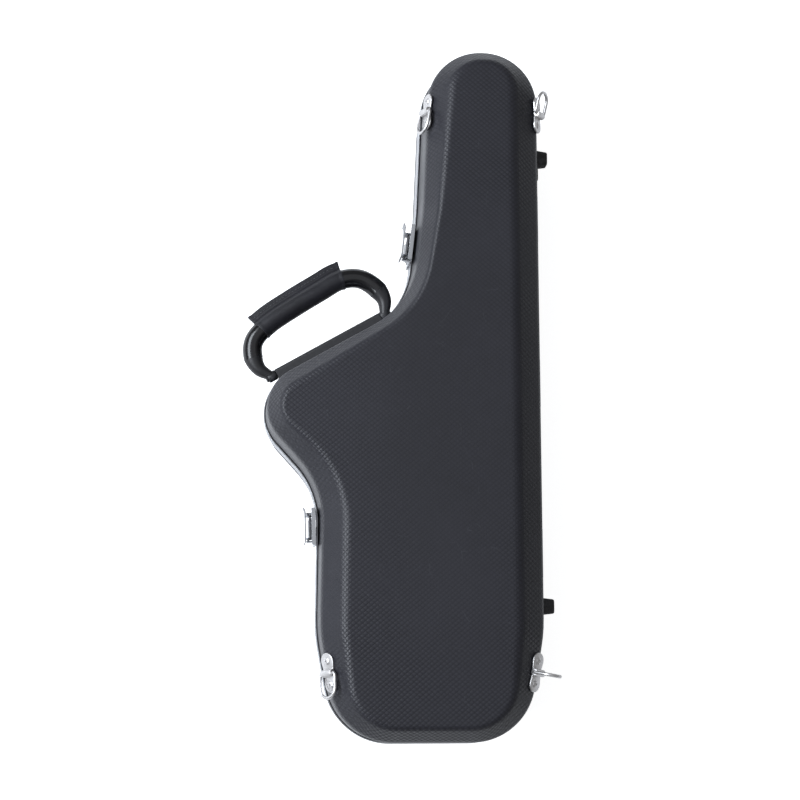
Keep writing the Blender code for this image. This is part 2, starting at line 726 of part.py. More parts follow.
def make_hinge(index, frame):
    """One spine hinge: a leaf on each valance and the pin through their knuckles."""
    name = f"hinge_{index}"
    axis_out = HINGE_WALL_GAP + HINGE_KNUCKLE_RADIUS
    inner, outer = SEAT_GAP, SEAT_GAP + HINGE_LEAF_THICKNESS
    neck_inner = axis_out - HINGE_KNUCKLE_RADIUS
    clear = HINGE_KNUCKLE_RADIUS + 2 * PART_GAP
    half = HINGE_LENGTH / 2
    middle = HINGE_KNUCKLE_LENGTH / 2
    bore = place("hinge_bore", rod(HINGE_PIN_RADIUS + SEAT_GAP, (-half - CUT_OVERRUN, 0, axis_out),
                                   (half + CUT_OVERRUN, 0, axis_out)), frame)
    spots = [(step * HINGE_RIVET_PITCH, (clear + HINGE_LEAF_HEIGHT) / 2) for step in (-1, 0, 1)]
    spans = {"base": ((-half, -middle - PART_GAP), (middle + PART_GAP, half)), "lid": ((-middle, middle),)}
    for part, side in (("base", -1), ("lid", 1)):
        levels = sorted((side * clear, side * HINGE_LEAF_HEIGHT))
        leaf = place(f"{name}_{part}_leaf", block((-half, levels[0], inner), (half, levels[1], outer)),
                     frame, STEEL)
        for low, high in spans[part]:
            reach = sorted((0, side * (clear + CUT_OVERRUN)))
            neck = block((low, reach[0], neck_inner), (high, reach[1], outer))
            knuckle = rod(HINGE_KNUCKLE_RADIUS, (low, 0, axis_out), (high, 0, axis_out))
            fuse(leaf, place("hinge_neck", neck, frame), place("hinge_knuckle", knuckle, frame))
        turned_spots = [(x, side * y) for x, y in spots]
        fuse(leaf, *rivet_heads(frame, turned_spots, outer, HINGE_PIN_HEAD_RADIUS))
        cut(leaf, bore)
    head = HINGE_PIN_HEAD_LENGTH
    length = HINGE_LENGTH + 2 * (head + PART_GAP)
    profile = ((0, HINGE_PIN_HEAD_RADIUS), (head, HINGE_PIN_HEAD_RADIUS), (head, HINGE_PIN_RADIUS),
               (length - head, HINGE_PIN_RADIUS), (length - head, HINGE_PIN_HEAD_RADIUS),
               (length, HINGE_PIN_HEAD_RADIUS))
    place(f"{name}_pin", turned(profile, (1, 0, 0), (-length / 2, 0, axis_out)), frame, STEEL)


def make_latch_housing(name, frame):
    """The latch's pressed housing on the lid, with ears and studs that carry the lever."""
    half = LATCH_LENGTH / 2
    plate_out = SEAT_GAP + LATCH_PLATE_THICKNESS
    plate = block((-half, LATCH_HOUSING_FOOT, SEAT_GAP), (half, LATCH_HOUSING_TOP, plate_out))
    housing = place(f"{name}_housing", plate, frame, CHROME)
    shelf = block((-half, LATCH_HOUSING_TOP - LATCH_PLATE_THICKNESS, plate_out - CUT_OVERRUN),
                  (half, LATCH_HOUSING_TOP, LATCH_FLANGE_REACH))
    fuse(housing, place("housing_shelf", shelf, frame))
    low = LATCH_PIVOT_UP - 2 * LATCH_EAR_RADIUS
    high = LATCH_PIVOT_UP + 2 * LATCH_EAR_RADIUS
    foot = plate_out - CUT_OVERRUN
    ear_path = rounded_path(
        ((low, foot), (high, foot), (LATCH_PIVOT_UP + LATCH_EAR_RADIUS, LATCH_PIVOT_OUT + LATCH_EAR_RADIUS),
         (LATCH_PIVOT_UP - LATCH_EAR_RADIUS, LATCH_PIVOT_OUT + LATCH_EAR_RADIUS)),
        (0, 0, LATCH_EAR_RADIUS, LATCH_EAR_RADIUS), step_deg=30)
    for side in (-1, 1):
        outer = side * LATCH_EAR_HALF_SPREAD
        inner = side * (LATCH_EAR_HALF_SPREAD - LATCH_EAR_THICKNESS)
        ear = slab(ear_path, min(inner, outer), max(inner, outer), "YZX")
        stud_end = side * (LATCH_LUG_HALF_SPREAD - LATCH_LUG_THICKNESS - PART_GAP)
        stud = rod(LATCH_STUD_RADIUS, (side * (LATCH_EAR_HALF_SPREAD - LATCH_EAR_THICKNESS / 2),
                                       LATCH_PIVOT_UP, LATCH_PIVOT_OUT),
                   (stud_end, LATCH_PIVOT_UP, LATCH_PIVOT_OUT), SMALL_SIDES)
        fuse(housing, place("housing_ear", ear, frame), place("housing_stud", stud, frame))
    rivet_up = LATCH_HOUSING_TOP - 4 * RIVET_HEAD_RADIUS
    fuse(housing, *rivet_heads(frame, ((-half / 2, rivet_up), (half / 2, rivet_up)), plate_out))


def lever_lug_path():
    """The outline of a lever's lug round its pivot and the claw's rod, from the pivot."""
    points = []
    for up, out, radius in ((0, 0, LATCH_EAR_RADIUS), (LATCH_CLAW_UP, -LATCH_CLAW_IN, LATCH_EAR_RADIUS)):
        for step in range(ROUND_SIDES):
            turn = 2 * math.pi * step / ROUND_SIDES
            points.append(Vector((up + radius * math.cos(turn), out + radius * math.sin(turn))))
    reach = LEVER_STAND_OFF + LEVER_THICKNESS / 2
    points += [Vector((LEVER_FOOT_UP, reach)), Vector((LATCH_CLAW_UP + 2 * LATCH_EAR_RADIUS, reach))]
    return convex_outline(points)


def convex_outline(points):
    """The anticlockwise outline of the points' convex hull."""
    ordered = sorted(points, key=lambda point: (point.x, point.y))

    def chain(path):
        kept = []
        for point in path:
            while len(kept) > 1 and (kept[-1] - kept[-2]).cross(point - kept[-1]) <= 0:
                kept.pop()
            kept.append(point)
        return kept[:-1]

    return chain(ordered) + chain(reversed(ordered))


def make_latch_lever(name, frame):
    """The lever, a forked plate with flared sides, on its own pivot."""
    pivot = frame @ Matrix.Translation((0, LATCH_PIVOT_UP, LATCH_PIVOT_OUT))
    half = LATCH_LENGTH / 2
    inner, outer = LEVER_STAND_OFF, LEVER_STAND_OFF + LEVER_THICKNESS
    flare = (half, LEVER_FLARE_RISE), (half - LEVER_FLARE_WIDTH / 2, LEVER_FLARE_RISE / 3), (
        half - LEVER_FLARE_WIDTH, 0)
    right = [(x, inner + rise) for x, rise in flare]
    under = right + [(-x, out) for x, out in reversed(right)]
    over = [(x, out + outer - inner) for x, out in reversed(under)]
    top = LATCH_HOUSING_TOP - LATCH_PIVOT_UP
    lever = place(f"{name}_lever", slab(under + over, LEVER_FOOT_UP, top, "XZY"), pivot, CHROME)
    slot = block((-LEVER_SLOT_HALF_WIDTH, LEVER_FOOT_UP - CUT_OVERRUN, 0),
                 (LEVER_SLOT_HALF_WIDTH, LEVER_SLOT_UP, outer + CUT_OVERRUN))
    cut(lever, place("lever_slot", slot, pivot))
    for side in (-1, 1):
        spread = sorted((side * LATCH_LUG_HALF_SPREAD,
                         side * (LATCH_LUG_HALF_SPREAD - LATCH_LUG_THICKNESS)))
        fuse(lever, place("lever_lug", slab(lever_lug_path(), *spread, "YZX"), pivot))
    across = LATCH_EAR_HALF_SPREAD
    for radius, up, out in ((LATCH_STUD_RADIUS, 0, 0),
                            (LATCH_CLAW_ROD_RADIUS, LATCH_CLAW_UP, -LATCH_CLAW_IN)):
        bore = rod(radius + SEAT_GAP, (-across, up, out), (across, up, out))
        cut(lever, place("lever_bore", bore, pivot))


def make_latch_claw(name, frame):
    """The draw claw, hung on its rod in the lever and reaching down over the catch."""
    pivot = frame @ Matrix.Translation((0, CLAW_AXIS_UP, CLAW_AXIS_OUT))
    inner = CLAW_INNER_OUT - CLAW_AXIS_OUT
    outer = inner + LATCH_CLAW_THICKNESS
    bottom = -CLAW_AXIS_UP - LATCH_CLAW_DROP
    half = LATCH_CLAW_HALF_WIDTH
    toe_top = bottom + LATCH_TOE_HEIGHT
    toe_out = inner + LATCH_TOE_THICKNESS
    side_path = [(bottom, inner), (LATCH_CLAW_ROD_RADIUS, inner), (LATCH_CLAW_ROD_RADIUS, outer),
                 (toe_top, outer), (toe_top - LATCH_TOE_HEIGHT / 4, toe_out), (bottom, toe_out)]
    claw = place(f"{name}_claw", slab(side_path, -half, half, "YZX"), pivot, CHROME)
    eye = rod(LATCH_CLAW_ROD_RADIUS + LATCH_CLAW_THICKNESS / 2, (-half, 0, 0), (half, 0, 0))
    reach = LATCH_EAR_HALF_SPREAD - LATCH_EAR_THICKNESS - PART_GAP
    bar = rod(LATCH_CLAW_ROD_RADIUS, (-reach, 0, 0), (reach, 0, 0), SMALL_SIDES)
    fuse(claw, place("claw_eye", eye, pivot), place("claw_bar", bar, pivot))


def make_latch_catch(name, frame):
    """The catch on the base, a riveted plate whose ledge the claw bears on."""
    half = LATCH_LENGTH / 2
    plate_out = SEAT_GAP + LATCH_PLATE_THICKNESS
    bottom = -LATCH_HOUSING_FOOT - CATCH_HEIGHT
    plate = block((-half, bottom, SEAT_GAP), (half, -LATCH_HOUSING_FOOT, plate_out))
    catch = place(f"{name}_catch", plate, frame, CHROME)
    root, tip = plate_out - CUT_OVERRUN, CATCH_LEDGE_REACH
    lip = tip - CATCH_LEDGE_THICKNESS / 2
    top, foot = -CATCH_LEDGE_DROP, -CATCH_LEDGE_DROP - CATCH_LEDGE_THICKNESS
    lip_foot = foot - CATCH_LEDGE_THICKNESS
    side_path = [(foot, root), (top, root), (top, tip), (lip_foot, tip), (lip_foot, lip), (foot, lip)]
    width = LATCH_CLAW_HALF_WIDTH + CATCH_LEDGE_THICKNESS
    ledge = slab(list(reversed(side_path)), -width, width, "YZX")
    fuse(catch, place("catch_ledge", ledge, frame))
    spots = ((-half + 2 * RIVET_HEAD_RADIUS, bottom / 2), (half - 2 * RIVET_HEAD_RADIUS, bottom / 2))
    fuse(catch, *rivet_heads(frame, spots, plate_out))


def make_latch(name, frame):
    """One draw latch: housing and lever on the lid, claw on the lever, catch on the base."""
    make_latch_housing(name, frame)
    make_latch_lever(name, frame)
    make_latch_claw(name, frame)
    make_latch_catch(name, frame)


def lobe_path(way):
    """The outline of a bracket's lobe round its rivet, with a neck towards the knuckle."""
    points = []
    for step in range(2 * SMALL_SIDES):
        turn = math.pi * step / SMALL_SIDES
        points.append(BRACKET_LOBE_RADIUS * Vector((math.cos(turn), math.sin(turn))))
    neck = -way * (BRACKET_RIVET_REACH - BRACKET_KNUCKLE_RADIUS / 2)
    points += [Vector((neck, BRACKET_NECK_HALF_WIDTH)), Vector((neck, -BRACKET_NECK_HALF_WIDTH))]
    return convex_outline(points)


def make_bracket(name, edge, length, height):
    """A strap-ring bracket: two riveted lobes that follow the shell and a knuckle between them."""
    frame = lid_surface(edge, length, height)
    half = BRACKET_KNUCKLE_HALF_LENGTH
    axis = BRACKET_KNUCKLE_HEIGHT
    knuckle = rod(BRACKET_KNUCKLE_RADIUS, (0, -half, axis), (0, half, axis))
    bracket = place(f"{name}_bracket", knuckle, frame, NICKEL)
    plate_out = SEAT_GAP + BRACKET_THICKNESS
    for way in (-1, 1):
        seat = lid_surface(edge, length + way * BRACKET_RIVET_REACH, height)
        lobe = slab(lobe_path(way), SEAT_GAP, plate_out)
        fuse(bracket, place("bracket_lobe", lobe, seat), *rivet_heads(seat, ((0, 0),), plate_out))
    reach = half + CUT_OVERRUN
    bore = rod(RING_WIRE_RADIUS + SEAT_GAP, (0, -reach, axis), (0, reach, axis))
    cut(bracket, place("bracket_bore", bore, frame))
    return frame


def make_ring(name, frame, angle_deg):
    """The D-ring in a bracket's knuckle, raised by an angle from the outline's way."""
    centre = (0, 0, BRACKET_KNUCKLE_HEIGHT)
    pose = frame @ Matrix.Translation(centre) @ Matrix.Rotation(-math.radians(angle_deg), 4, "Y")
    corner = 2 * RING_WIRE_RADIUS
    corners = ((0, -RING_HALF_WIDTH), (RING_STRAIGHT + RING_HALF_WIDTH, -RING_HALF_WIDTH),
               (RING_STRAIGHT + RING_HALF_WIDTH, RING_HALF_WIDTH), (0, RING_HALF_WIDTH))
    radii = (corner, RING_HALF_WIDTH, RING_HALF_WIDTH, corner)
    path = rounded_path(corners, radii, step_deg=30)
    curve = bpy.data.curves.new(f"{name}_ring", "CURVE")
    curve.dimensions = "3D"
    curve.bevel_depth = RING_WIRE_RADIUS
    curve.bevel_resolution = 1
    wire = curve.splines.new("POLY")
    wire.points.add(len(path) - 1)
    wire.use_cyclic_u = True
    for spot, point in zip(wire.points, path):
        spot.co = (point.x, point.y, 0, 1)
    curve.materials.append(material(NICKEL))
    ring = bpy.data.objects.new(f"{name}_ring", curve)
    ring.matrix_world = pose
    bpy.data.collections["saxophone_case"].objects.link(ring)


def shoulder_frame():
    """The frame of the handle's axis: X down the shoulder, Y up and Z out of the case.

    The axis stands so far out that the handle's eyes clear the wall where it curves to the neck.
    """
    neck = Vector((SPINE_X - NECK_FOOT_WIDTH, TOP_Y - NECK_FOOT_DROP))
    lobe = Vector((SPINE_X - LOBE_REACH, TOP_Y - LOBE_DROP))
    way = (lobe - neck).normalized()
    out = Vector((way.y, -way.x))
    point = neck.lerp(lobe, HANDLE_SHOULDER_SHARE)
    wall = wall_inset(HANDLE_AXIS_DROP, BASE_WALL_HEIGHT, BASE_WEB_TOP + SEAT_GAP)
    stand = bulge(point, way, out, HANDLE_PIN_REACH) - wall
    axis_out = stand + HANDLE_EYE_RADIUS + HANDLE_WALL_GAP
    point = point + axis_out * out
    return frame_of((point.x, point.y, PARTING_Z - HANDLE_AXIS_DROP), Vector((way.x, way.y, 0)),
                    Vector((0, 0, 1)), Vector((out.x, out.y, 0))), axis_out


def make_handle_mount(frame, axis_out):
    """The moulded bar that carries the handle, with a flange on the shell and a rounded rib.

    Its back is cut to the curve of the base's wall.
    """
    half, rib = HANDLE_MOUNT_HEIGHT / 2, HANDLE_RIB_HEIGHT / 2
    back, step = -HANDLE_MOUNT_BACK - axis_out, HANDLE_MOUNT_STEP - axis_out
    corners = ((-half, back), (half, back), (half, step), (rib, step), (rib, HANDLE_RIB_COVER),
               (-rib, HANDLE_RIB_COVER), (-rib, step), (-half, step))
    small = HANDLE_RIB_ROUND / 3
    radii = (0, 0, small, small, HANDLE_RIB_ROUND, HANDLE_RIB_ROUND, small, small)
    path = rounded_path(corners, radii, step_deg=30)
    reach = HANDLE_MOUNT_LENGTH / 2
    mount = place("handle_mount", slab(path, -reach, reach, "YZX"), frame, HANDLE_PLASTIC)
    levels = []
    for height in (HANDLE_AXIS_DROP - half - CUT_OVERRUN, HANDLE_AXIS_DROP + half + CUT_OVERRUN):
        inset = wall_inset(height, BASE_WALL_HEIGHT, BASE_WEB_TOP + SEAT_GAP) - SEAT_GAP
        levels.append([Vector((point.x, point.y, PARTING_Z - height)) for point in outline(inset)])
    cut(mount, place("wall_cutter", closed(skin(levels))))
    for side in (-1, 1):
        start = (side * (reach - HANDLE_PIN_DEPTH - CUT_OVERRUN), 0, 0)
        end = (side * (reach + CUT_OVERRUN), 0, 0)
        bore = rod(HANDLE_PIN_RADIUS + SEAT_GAP, start, end)
        cut(mount, place("mount_bore", bore, frame))


def make_handle_pins(frame):
    """The two headed pins that the handle swings on."""
    reach = HANDLE_MOUNT_LENGTH / 2
    for number, side in ((1, 1), (2, -1)):
        start = reach - HANDLE_PIN_DEPTH
        shank = HANDLE_PIN_REACH - start
        profile = ((0, HANDLE_PIN_RADIUS), (shank, HANDLE_PIN_RADIUS), (shank, HANDLE_PIN_HEAD_RADIUS),
                   (shank + HANDLE_PIN_HEAD_LENGTH, HANDLE_PIN_HEAD_RADIUS))
        mesh = turned(profile, (side, 0, 0), (side * start, 0, 0))
        place(f"handle_pin_{number}", mesh, frame, CHROME)


def handle_stations(count, axis_out):
    """Points, ways ahead and lengths along the handle's centre line, on a smooth curve."""
    axis = Vector((0, axis_out))
    knots = [Vector((x * HANDLE_HALF_SPAN, out * HANDLE_RISE)) - axis for x, out in HANDLE_PATH_SHARES]
    knots = [Vector((HANDLE_EYE_PLACE, 0))] + knots + [Vector((-HANDLE_EYE_PLACE, 0))]
    knots = [2 * knots[0] - knots[1]] + knots + [2 * knots[-1] - knots[-2]]
    fine = []
    for before, start, end, after in zip(knots, knots[1:], knots[2:], knots[3:]):
        for step in range(SMALL_SIDES):
            t = step / SMALL_SIDES
            fine.append(0.5 * (2 * start + (end - before) * t
                               + (2 * before - 5 * start + 4 * end - after) * t ** 2
                               + (3 * start - 3 * end + after - before) * t ** 3))
    fine.append(knots[-2])
    lengths = [0.0]
    for low, high in zip(fine, fine[1:]):
        lengths.append(lengths[-1] + (high - low).length)
    stations = []
    for i in range(count + 1):
        target = lengths[-1] * i / count
        k = max(j for j in range(len(fine) - 1) if lengths[j] <= target + lengths[-1] / 10 ** 6)
        share = (target - lengths[k]) / (lengths[k + 1] - lengths[k])
        way = (fine[min(k + 2, len(fine) - 1)] - fine[max(k - 1, 0)]).normalized()
        stations.append((fine[k].lerp(fine[k + 1], share), way, target / lengths[-1]))
    return stations, lengths[-1]


def station_at(stations, share):
    """The point and way ahead at a share of the handle's length, between two stations."""
    for low, high in zip(stations, stations[1:]):
        if high[2] > share:
            break
    part = (share - low[2]) / (high[2] - low[2])
    return low[0].lerp(high[0], part), low[1].lerp(high[1], part).normalized()


def handle_ring(point, way, section):
    """A section of the handle, from pairs of a place in its plane and a height, set on a station."""
    side = Vector((-way.y, way.x))
    return [Vector((point.x + a * side.x, h, point.y + a * side.y)) for a, h in section]


def round_section(across, height, sides=ROUND_SIDES):
    """An ellipse of half-widths across and height."""
    turns = [2 * math.pi * (i + 0.5) / sides for i in range(sides)]
    return [(across * math.cos(t), height * math.sin(t)) for t in turns]


def make_handle_loop(frame, axis_out):
    """The handle's loop, with flattened ends on the pins and a slimmer core under the grip."""
    stations, length = handle_stations(HANDLE_STEPS, axis_out)
    end_across = HANDLE_EYE_LENGTH / 2 - JOIN_OVERLAP / 2
    end_tall = HANDLE_EYE_RADIUS - JOIN_OVERLAP / 2
    tube, core = HANDLE_TUBE_RADIUS, HANDLE_CORE_RADIUS
    sections = [(GRIP_START_SHARE, tube, tube), (GRIP_START_SHARE, core, core),
                (GRIP_END_SHARE, core, core), (GRIP_END_SHARE, tube, tube)]
    for _, _, share in stations:
        tab = max(0, 1 - min(share, 1 - share) * length / HANDLE_TAB_RUN)
        across, tall = tube + tab * (end_across - tube), tube + tab * (end_tall - tube)
        if GRIP_START_SHARE < share < GRIP_END_SHARE:
            across = tall = core
        sections.append((share, across, tall))
    sections.sort(key=lambda section: section[0])
    rings = []
    for share, across, tall in sections:
        rings.append(handle_ring(*station_at(stations, share), round_section(across, tall)))
    loop = place("handle_loop", closed(skin(rings)), frame, HANDLE_PLASTIC)
    low, high = HANDLE_EYE_PLACE - HANDLE_EYE_LENGTH / 2, HANDLE_EYE_PLACE + HANDLE_EYE_LENGTH / 2
    for side in (-1, 1):
        eye = rod(HANDLE_EYE_RADIUS, (side * low, 0, 0), (side * high, 0, 0))
        fuse(loop, place("loop_eye", eye, frame))
    for side in (-1, 1):
        start, end = side * (low - CUT_OVERRUN), side * (high + HANDLE_EYE_LENGTH)
        bore = rod(HANDLE_PIN_RADIUS + SEAT_GAP, (start, 0, 0), (end, 0, 0))
        seat = rod(HANDLE_PIN_HEAD_RADIUS + HANDLE_EYE_GAP, (side * high, 0, 0), (end, 0, 0))
        cut(loop, place("loop_bore", bore, frame), place("loop_pin_seat", seat, frame))


def grip_section(gap):
    """The grip's outer section with its stitched flap, or its inner one when a gap is given."""
    half = GRIP_FLAP_THICKNESS / 2
    spread = math.asin(half / GRIP_RADIUS)
    turns = [spread + (2 * math.pi - 2 * spread) * i / (ROUND_SIDES + 1) for i in range(ROUND_SIDES + 2)]
    if gap:
        radius = HANDLE_CORE_RADIUS + gap
        flap = [(radius * math.cos(t), radius * math.sin(t)) for t in (-spread / 3, spread / 3)]
    else:
        radius = GRIP_RADIUS
        flap = [(GRIP_FLAP_REACH, -half), (GRIP_FLAP_REACH, half)]
    return [(-a, h) for a, h in [(radius * math.cos(t), radius * math.sin(t)) for t in turns] + flap]


def make_handle_grip(frame, axis_out):
    """The leather wrap round the handle's core, with the stitched flap along its outer side."""
    stations, length = handle_stations(HANDLE_STEPS, axis_out)
    start, end = GRIP_START_SHARE + SEAT_GAP / length, GRIP_END_SHARE - SEAT_GAP / length
    shares = [start] + [share for _, _, share in stations if start < share < end] + [end]
    kept = [station_at(stations, share) for share in shares]
    outer = [handle_ring(point, way, grip_section(0)) for point, way in kept]
    inner = [handle_ring(point, way, grip_section(SEAT_GAP)) for point, way in kept]
    place("handle_grip", closed(skin(outer + inner[::-1], wrap=True)), frame, GRIP_LEATHER)


def make_foot(name, y, height):
    """A rubber foot on the spine, a rounded square that narrows to its tip."""
    side = 1 if height > 0 else -1
    depths = {1: (LID_WALL_HEIGHT, LID_WEB_TOP), -1: (BASE_WALL_HEIGHT, BASE_WEB_TOP + SEAT_GAP)}
    wall, foot = depths[side]
    back = SPINE_X - wall_inset(abs(height) - FOOT_SIZE / 2, wall, foot) + SEAT_GAP
    rings = []
    tip = FOOT_TIP_SIZE / 2
    end = SPINE_X + FOOT_REACH
    for x, half in ((back, FOOT_SIZE / 2), (end - FOOT_EDGE, tip), (end, tip - FOOT_EDGE)):
        corners = ((-half, -half), (half, -half), (half, half), (-half, half))
        path = rounded_path(corners, [FOOT_CORNER_RADIUS] * 4, step_deg=30)
        rings.append([Vector((x, y + point.x, PARTING_Z + height + point.y)) for point in path])
    place(name, closed(skin(rings)), look=FOOT_RUBBER)


def build_case():
    """Build every piece of the case."""
    clear_scene()
    new_collection("saxophone_case")
    new_collection("cutters")
    edge = Edge()

    make_shell("lid_shell", LID_DEPTH, LID_WALL_HEIGHT, LID_WEB_TOP, 1)
    make_shell("base_shell", BASE_DEPTH, BASE_WALL_HEIGHT, BASE_WEB_TOP + SEAT_GAP, -1)
    make_lid_valance()
    make_base_valance()
    make_seal()

    hollow = make_hollow()
    make_lining("lid_lining", LID_DEPTH, LID_WALL_HEIGHT, LID_WEB_TOP, LID_LINING_RISE, 1, hollow)
    make_lining("base_lining", BASE_DEPTH, BASE_WALL_HEIGHT, BASE_WEB_TOP + SEAT_GAP,
                BASE_LINING_DROP, -1, hollow)

    for index in range(HINGE_COUNT):
        y = HINGE_CENTRE_Y + (index - (HINGE_COUNT - 1) / 2) * HINGE_PITCH
        make_hinge(index + 1, edge.frame(edge.crossing(y, 1), 0, 0))

    make_latch("upper_latch", chord_frame(edge, TOP_Y - LATCH_UPPER_DROP))
    make_latch("lower_latch", chord_frame(edge, TOP_Y - LATCH_LOWER_DROP))

    places = {
        "top_left": (TOP_Y - BRACKET_TOP_DROP, -1, BRACKET_TOP_HEIGHT),
        "top_right": (TOP_Y - BRACKET_TOP_DROP, 1, BRACKET_TOP_HEIGHT),
        "bottom_left": (-TOP_Y + BRACKET_BOTTOM_RISE, -1, BRACKET_BOTTOM_HEIGHT),
        "bottom_right": (-TOP_Y + BRACKET_BOTTOM_RISE, 1, BRACKET_BOTTOM_HEIGHT)}
    for name, (y, side, height) in places.items():
        frame = make_bracket(name, edge, edge.crossing(y, side), height)
        make_ring(name, frame, RING_ANGLES_DEG[name])

    shoulder, axis_out = shoulder_frame()
    make_handle_mount(shoulder, axis_out)
    make_handle_pins(shoulder)
    make_handle_loop(shoulder, axis_out)
    make_handle_grip(shoulder, axis_out)

    for part, side in (("lid", 1), ("base", -1)):
        make_foot(f"{part}_foot_top", TOP_Y - FOOT_TOP_DROP, side * FOOT_STAND_OFF)
        make_foot(f"{part}_foot_bottom", -TOP_Y + FOOT_BOTTOM_RISE, side * FOOT_STAND_OFF)


build_case()
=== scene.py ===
"""Looks of a shaped hard case for an alto saxophone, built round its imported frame.

The case lies on its back shell, with the neck end towards +Y, the lobe for the bell towards -X and
the lid facing +Z. Every piece is made in place, in metres, and rides on the body that carries it.
"""

import logging
import math
from dataclasses import dataclass
from enum import Enum

import bmesh
import bpy
from mathutils import Matrix, Vector


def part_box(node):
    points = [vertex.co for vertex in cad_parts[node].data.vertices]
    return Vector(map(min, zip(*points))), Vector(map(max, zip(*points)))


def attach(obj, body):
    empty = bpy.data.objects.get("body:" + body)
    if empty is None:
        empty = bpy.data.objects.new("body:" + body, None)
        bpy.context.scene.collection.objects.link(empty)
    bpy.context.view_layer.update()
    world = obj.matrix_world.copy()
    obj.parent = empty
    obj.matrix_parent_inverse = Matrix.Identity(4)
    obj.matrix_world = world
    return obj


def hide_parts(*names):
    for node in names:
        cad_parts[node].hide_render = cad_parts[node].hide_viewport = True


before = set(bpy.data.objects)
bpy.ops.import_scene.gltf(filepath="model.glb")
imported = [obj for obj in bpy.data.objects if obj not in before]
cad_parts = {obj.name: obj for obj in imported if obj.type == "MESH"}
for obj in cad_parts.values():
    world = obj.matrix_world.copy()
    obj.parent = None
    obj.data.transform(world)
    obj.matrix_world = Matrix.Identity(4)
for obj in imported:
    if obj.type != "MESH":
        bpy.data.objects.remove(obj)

LOG = logging.getLogger("saxophone_case")

Socket = bpy.types.NodeSocket
Piece = bpy.types.Object
Mesh = bmesh.types.BMesh
Edges = list[bmesh.types.BMEdge]
Place = tuple[float, float, float]
Colour = tuple[float, float, float]
Pairs = tuple[tuple[float, float], ...]
Insets = tuple[tuple[float, float], ...]


class Body(Enum):
    """The bodies that do not belong to one latch or ring."""

    BASE = "base"
    LID = "lid"
    HANDLE = "handle"


class Side(Enum):
    """Which way a half of the case stands from the parting, or a lining opens."""

    UP = 1
    DOWN = -1


class Flank(Enum):
    """A long side of the case: the latches' on the left, the spine on the right."""

    LEFT = -1
    RIGHT = 1


# Shader helpers and shared effects


class Graph:
    """Adds and links the nodes of one material or one effect."""

    def __init__(self, tree: bpy.types.NodeTree) -> None:
        """Work on a node tree."""
        self.tree = tree

    def add(self, kind: str, **settings: object) -> bpy.types.Node:
        """Add a node and set its attributes.

        Args:
            kind: the node's type without its ShaderNode prefix
            settings: attributes of the node

        Returns:
            The new node.
        """
        node = self.tree.nodes.new("ShaderNode" + kind)
        for name, value in settings.items():
            setattr(node, name, value)
        return node

    def feed(self, socket: Socket, value: object) -> None:
        """Link a socket to another one, or set it to a plain value.

        Args:
            socket: the input to feed
            value: an output, or a value of the input's kind
        """
        if isinstance(value, bpy.types.NodeSocket):
            self.tree.links.new(value, socket)
        else:
            socket.default_value = value

    def calc(self, operation: str, *values: object, clamp: bool = False) -> Socket:
        """Work out a number.

        Args:
            operation: the sum to work out
            values: its one to three numbers
            clamp: whether the result is held between 0 and 1

        Returns:
            The result.
        """
        node = self.add("Math", operation=operation, use_clamp=clamp)
        for socket, value in zip(node.inputs, values):
            self.feed(socket, value)
        return node.outputs[0]

    def vector(self, operation: str, *values: object) -> Socket:
        """Work out a vector.

        Args:
            operation: the sum to work out
            values: its one or two vectors

        Returns:
            The result.
        """
        node = self.add("VectorMath", operation=operation)
        for socket, value in zip(node.inputs, values):
            self.feed(socket, value)
        return node.outputs[0]

    def span(self, value: Socket, low: float, high: float, to: tuple[float, float] = (0, 1)) -> Socket:
        """Map a number smoothly from one range to another.

        Args:
            value: the number to map
            low: the value that gives the first end
            high: the value that gives the second end
            to: the two ends of the result

        Returns:
            The mapped number, held between its ends.
        """
        node = self.add("MapRange", interpolation_type="SMOOTHSTEP")
        self.feed(node.inputs["Value"], value)
        node.inputs["From Min"].default_value = low
        node.inputs["From Max"].default_value = high
        node.inputs["To Min"].default_value = to[0]
        node.inputs["To Max"].default_value = to[1]
        return node.outputs["Result"]

    def noise(self, point: Socket, scale: object, detail: float = 3.0, rough: float = 0.55) -> Socket:
        """A smooth cloudy number between 0 and 1.

        Args:
            point: the place
            scale: how many clouds there are to a metre
            detail: how many finer clouds are laid over them
            rough: how strong the finer ones are

        Returns:
            The number.
        """
        node = self.add("TexNoise")
        self.feed(node.inputs["Vector"], point)
        self.feed(node.inputs["Scale"], scale)
        node.inputs["Detail"].default_value = detail
        node.inputs["Roughness"].default_value = rough
        return node.outputs["Fac"]

    def tint(self, share: Socket, first: tuple, second: tuple) -> Socket:
        """Mix two colours.

        Args:
            share: the second colour's share
            first: the first colour, or a socket that gives one
            second: the second

        Returns:
            The mixed colour.
        """
        node = self.add("Mix", data_type="RGBA", clamp_factor=True)
        self.feed(node.inputs["Factor"], share)
        for name, colour in (("A", first), ("B", second)):
            socket = next(s for s in node.inputs if s.name == name and s.type == "RGBA")
            self.feed(socket, (*colour, 1) if isinstance(colour, tuple) else colour)
        return next(s for s in node.outputs if s.type == "RGBA")

    def place(self) -> Socket:
        """The place on the piece in metres."""
        return self.add("TexCoord").outputs["Object"]

    def facing(self) -> Socket:
        """The way the surface faces, in the piece's own axes."""
        return self.add("TexCoord").outputs["Normal"]

    def effect(self, effect: "Effect", **values: object) -> bpy.types.NodeOutputs:
        """Place a shared effect.

        Args:
            effect: the effect
            values: a value or a socket for each of its named inputs

        Returns:
            The effect's outputs, by name.
        """
        node = self.add("Group", node_tree=effect.group())
        for name, value in values.items():
            self.feed(node.inputs[name], value)
        return node.outputs


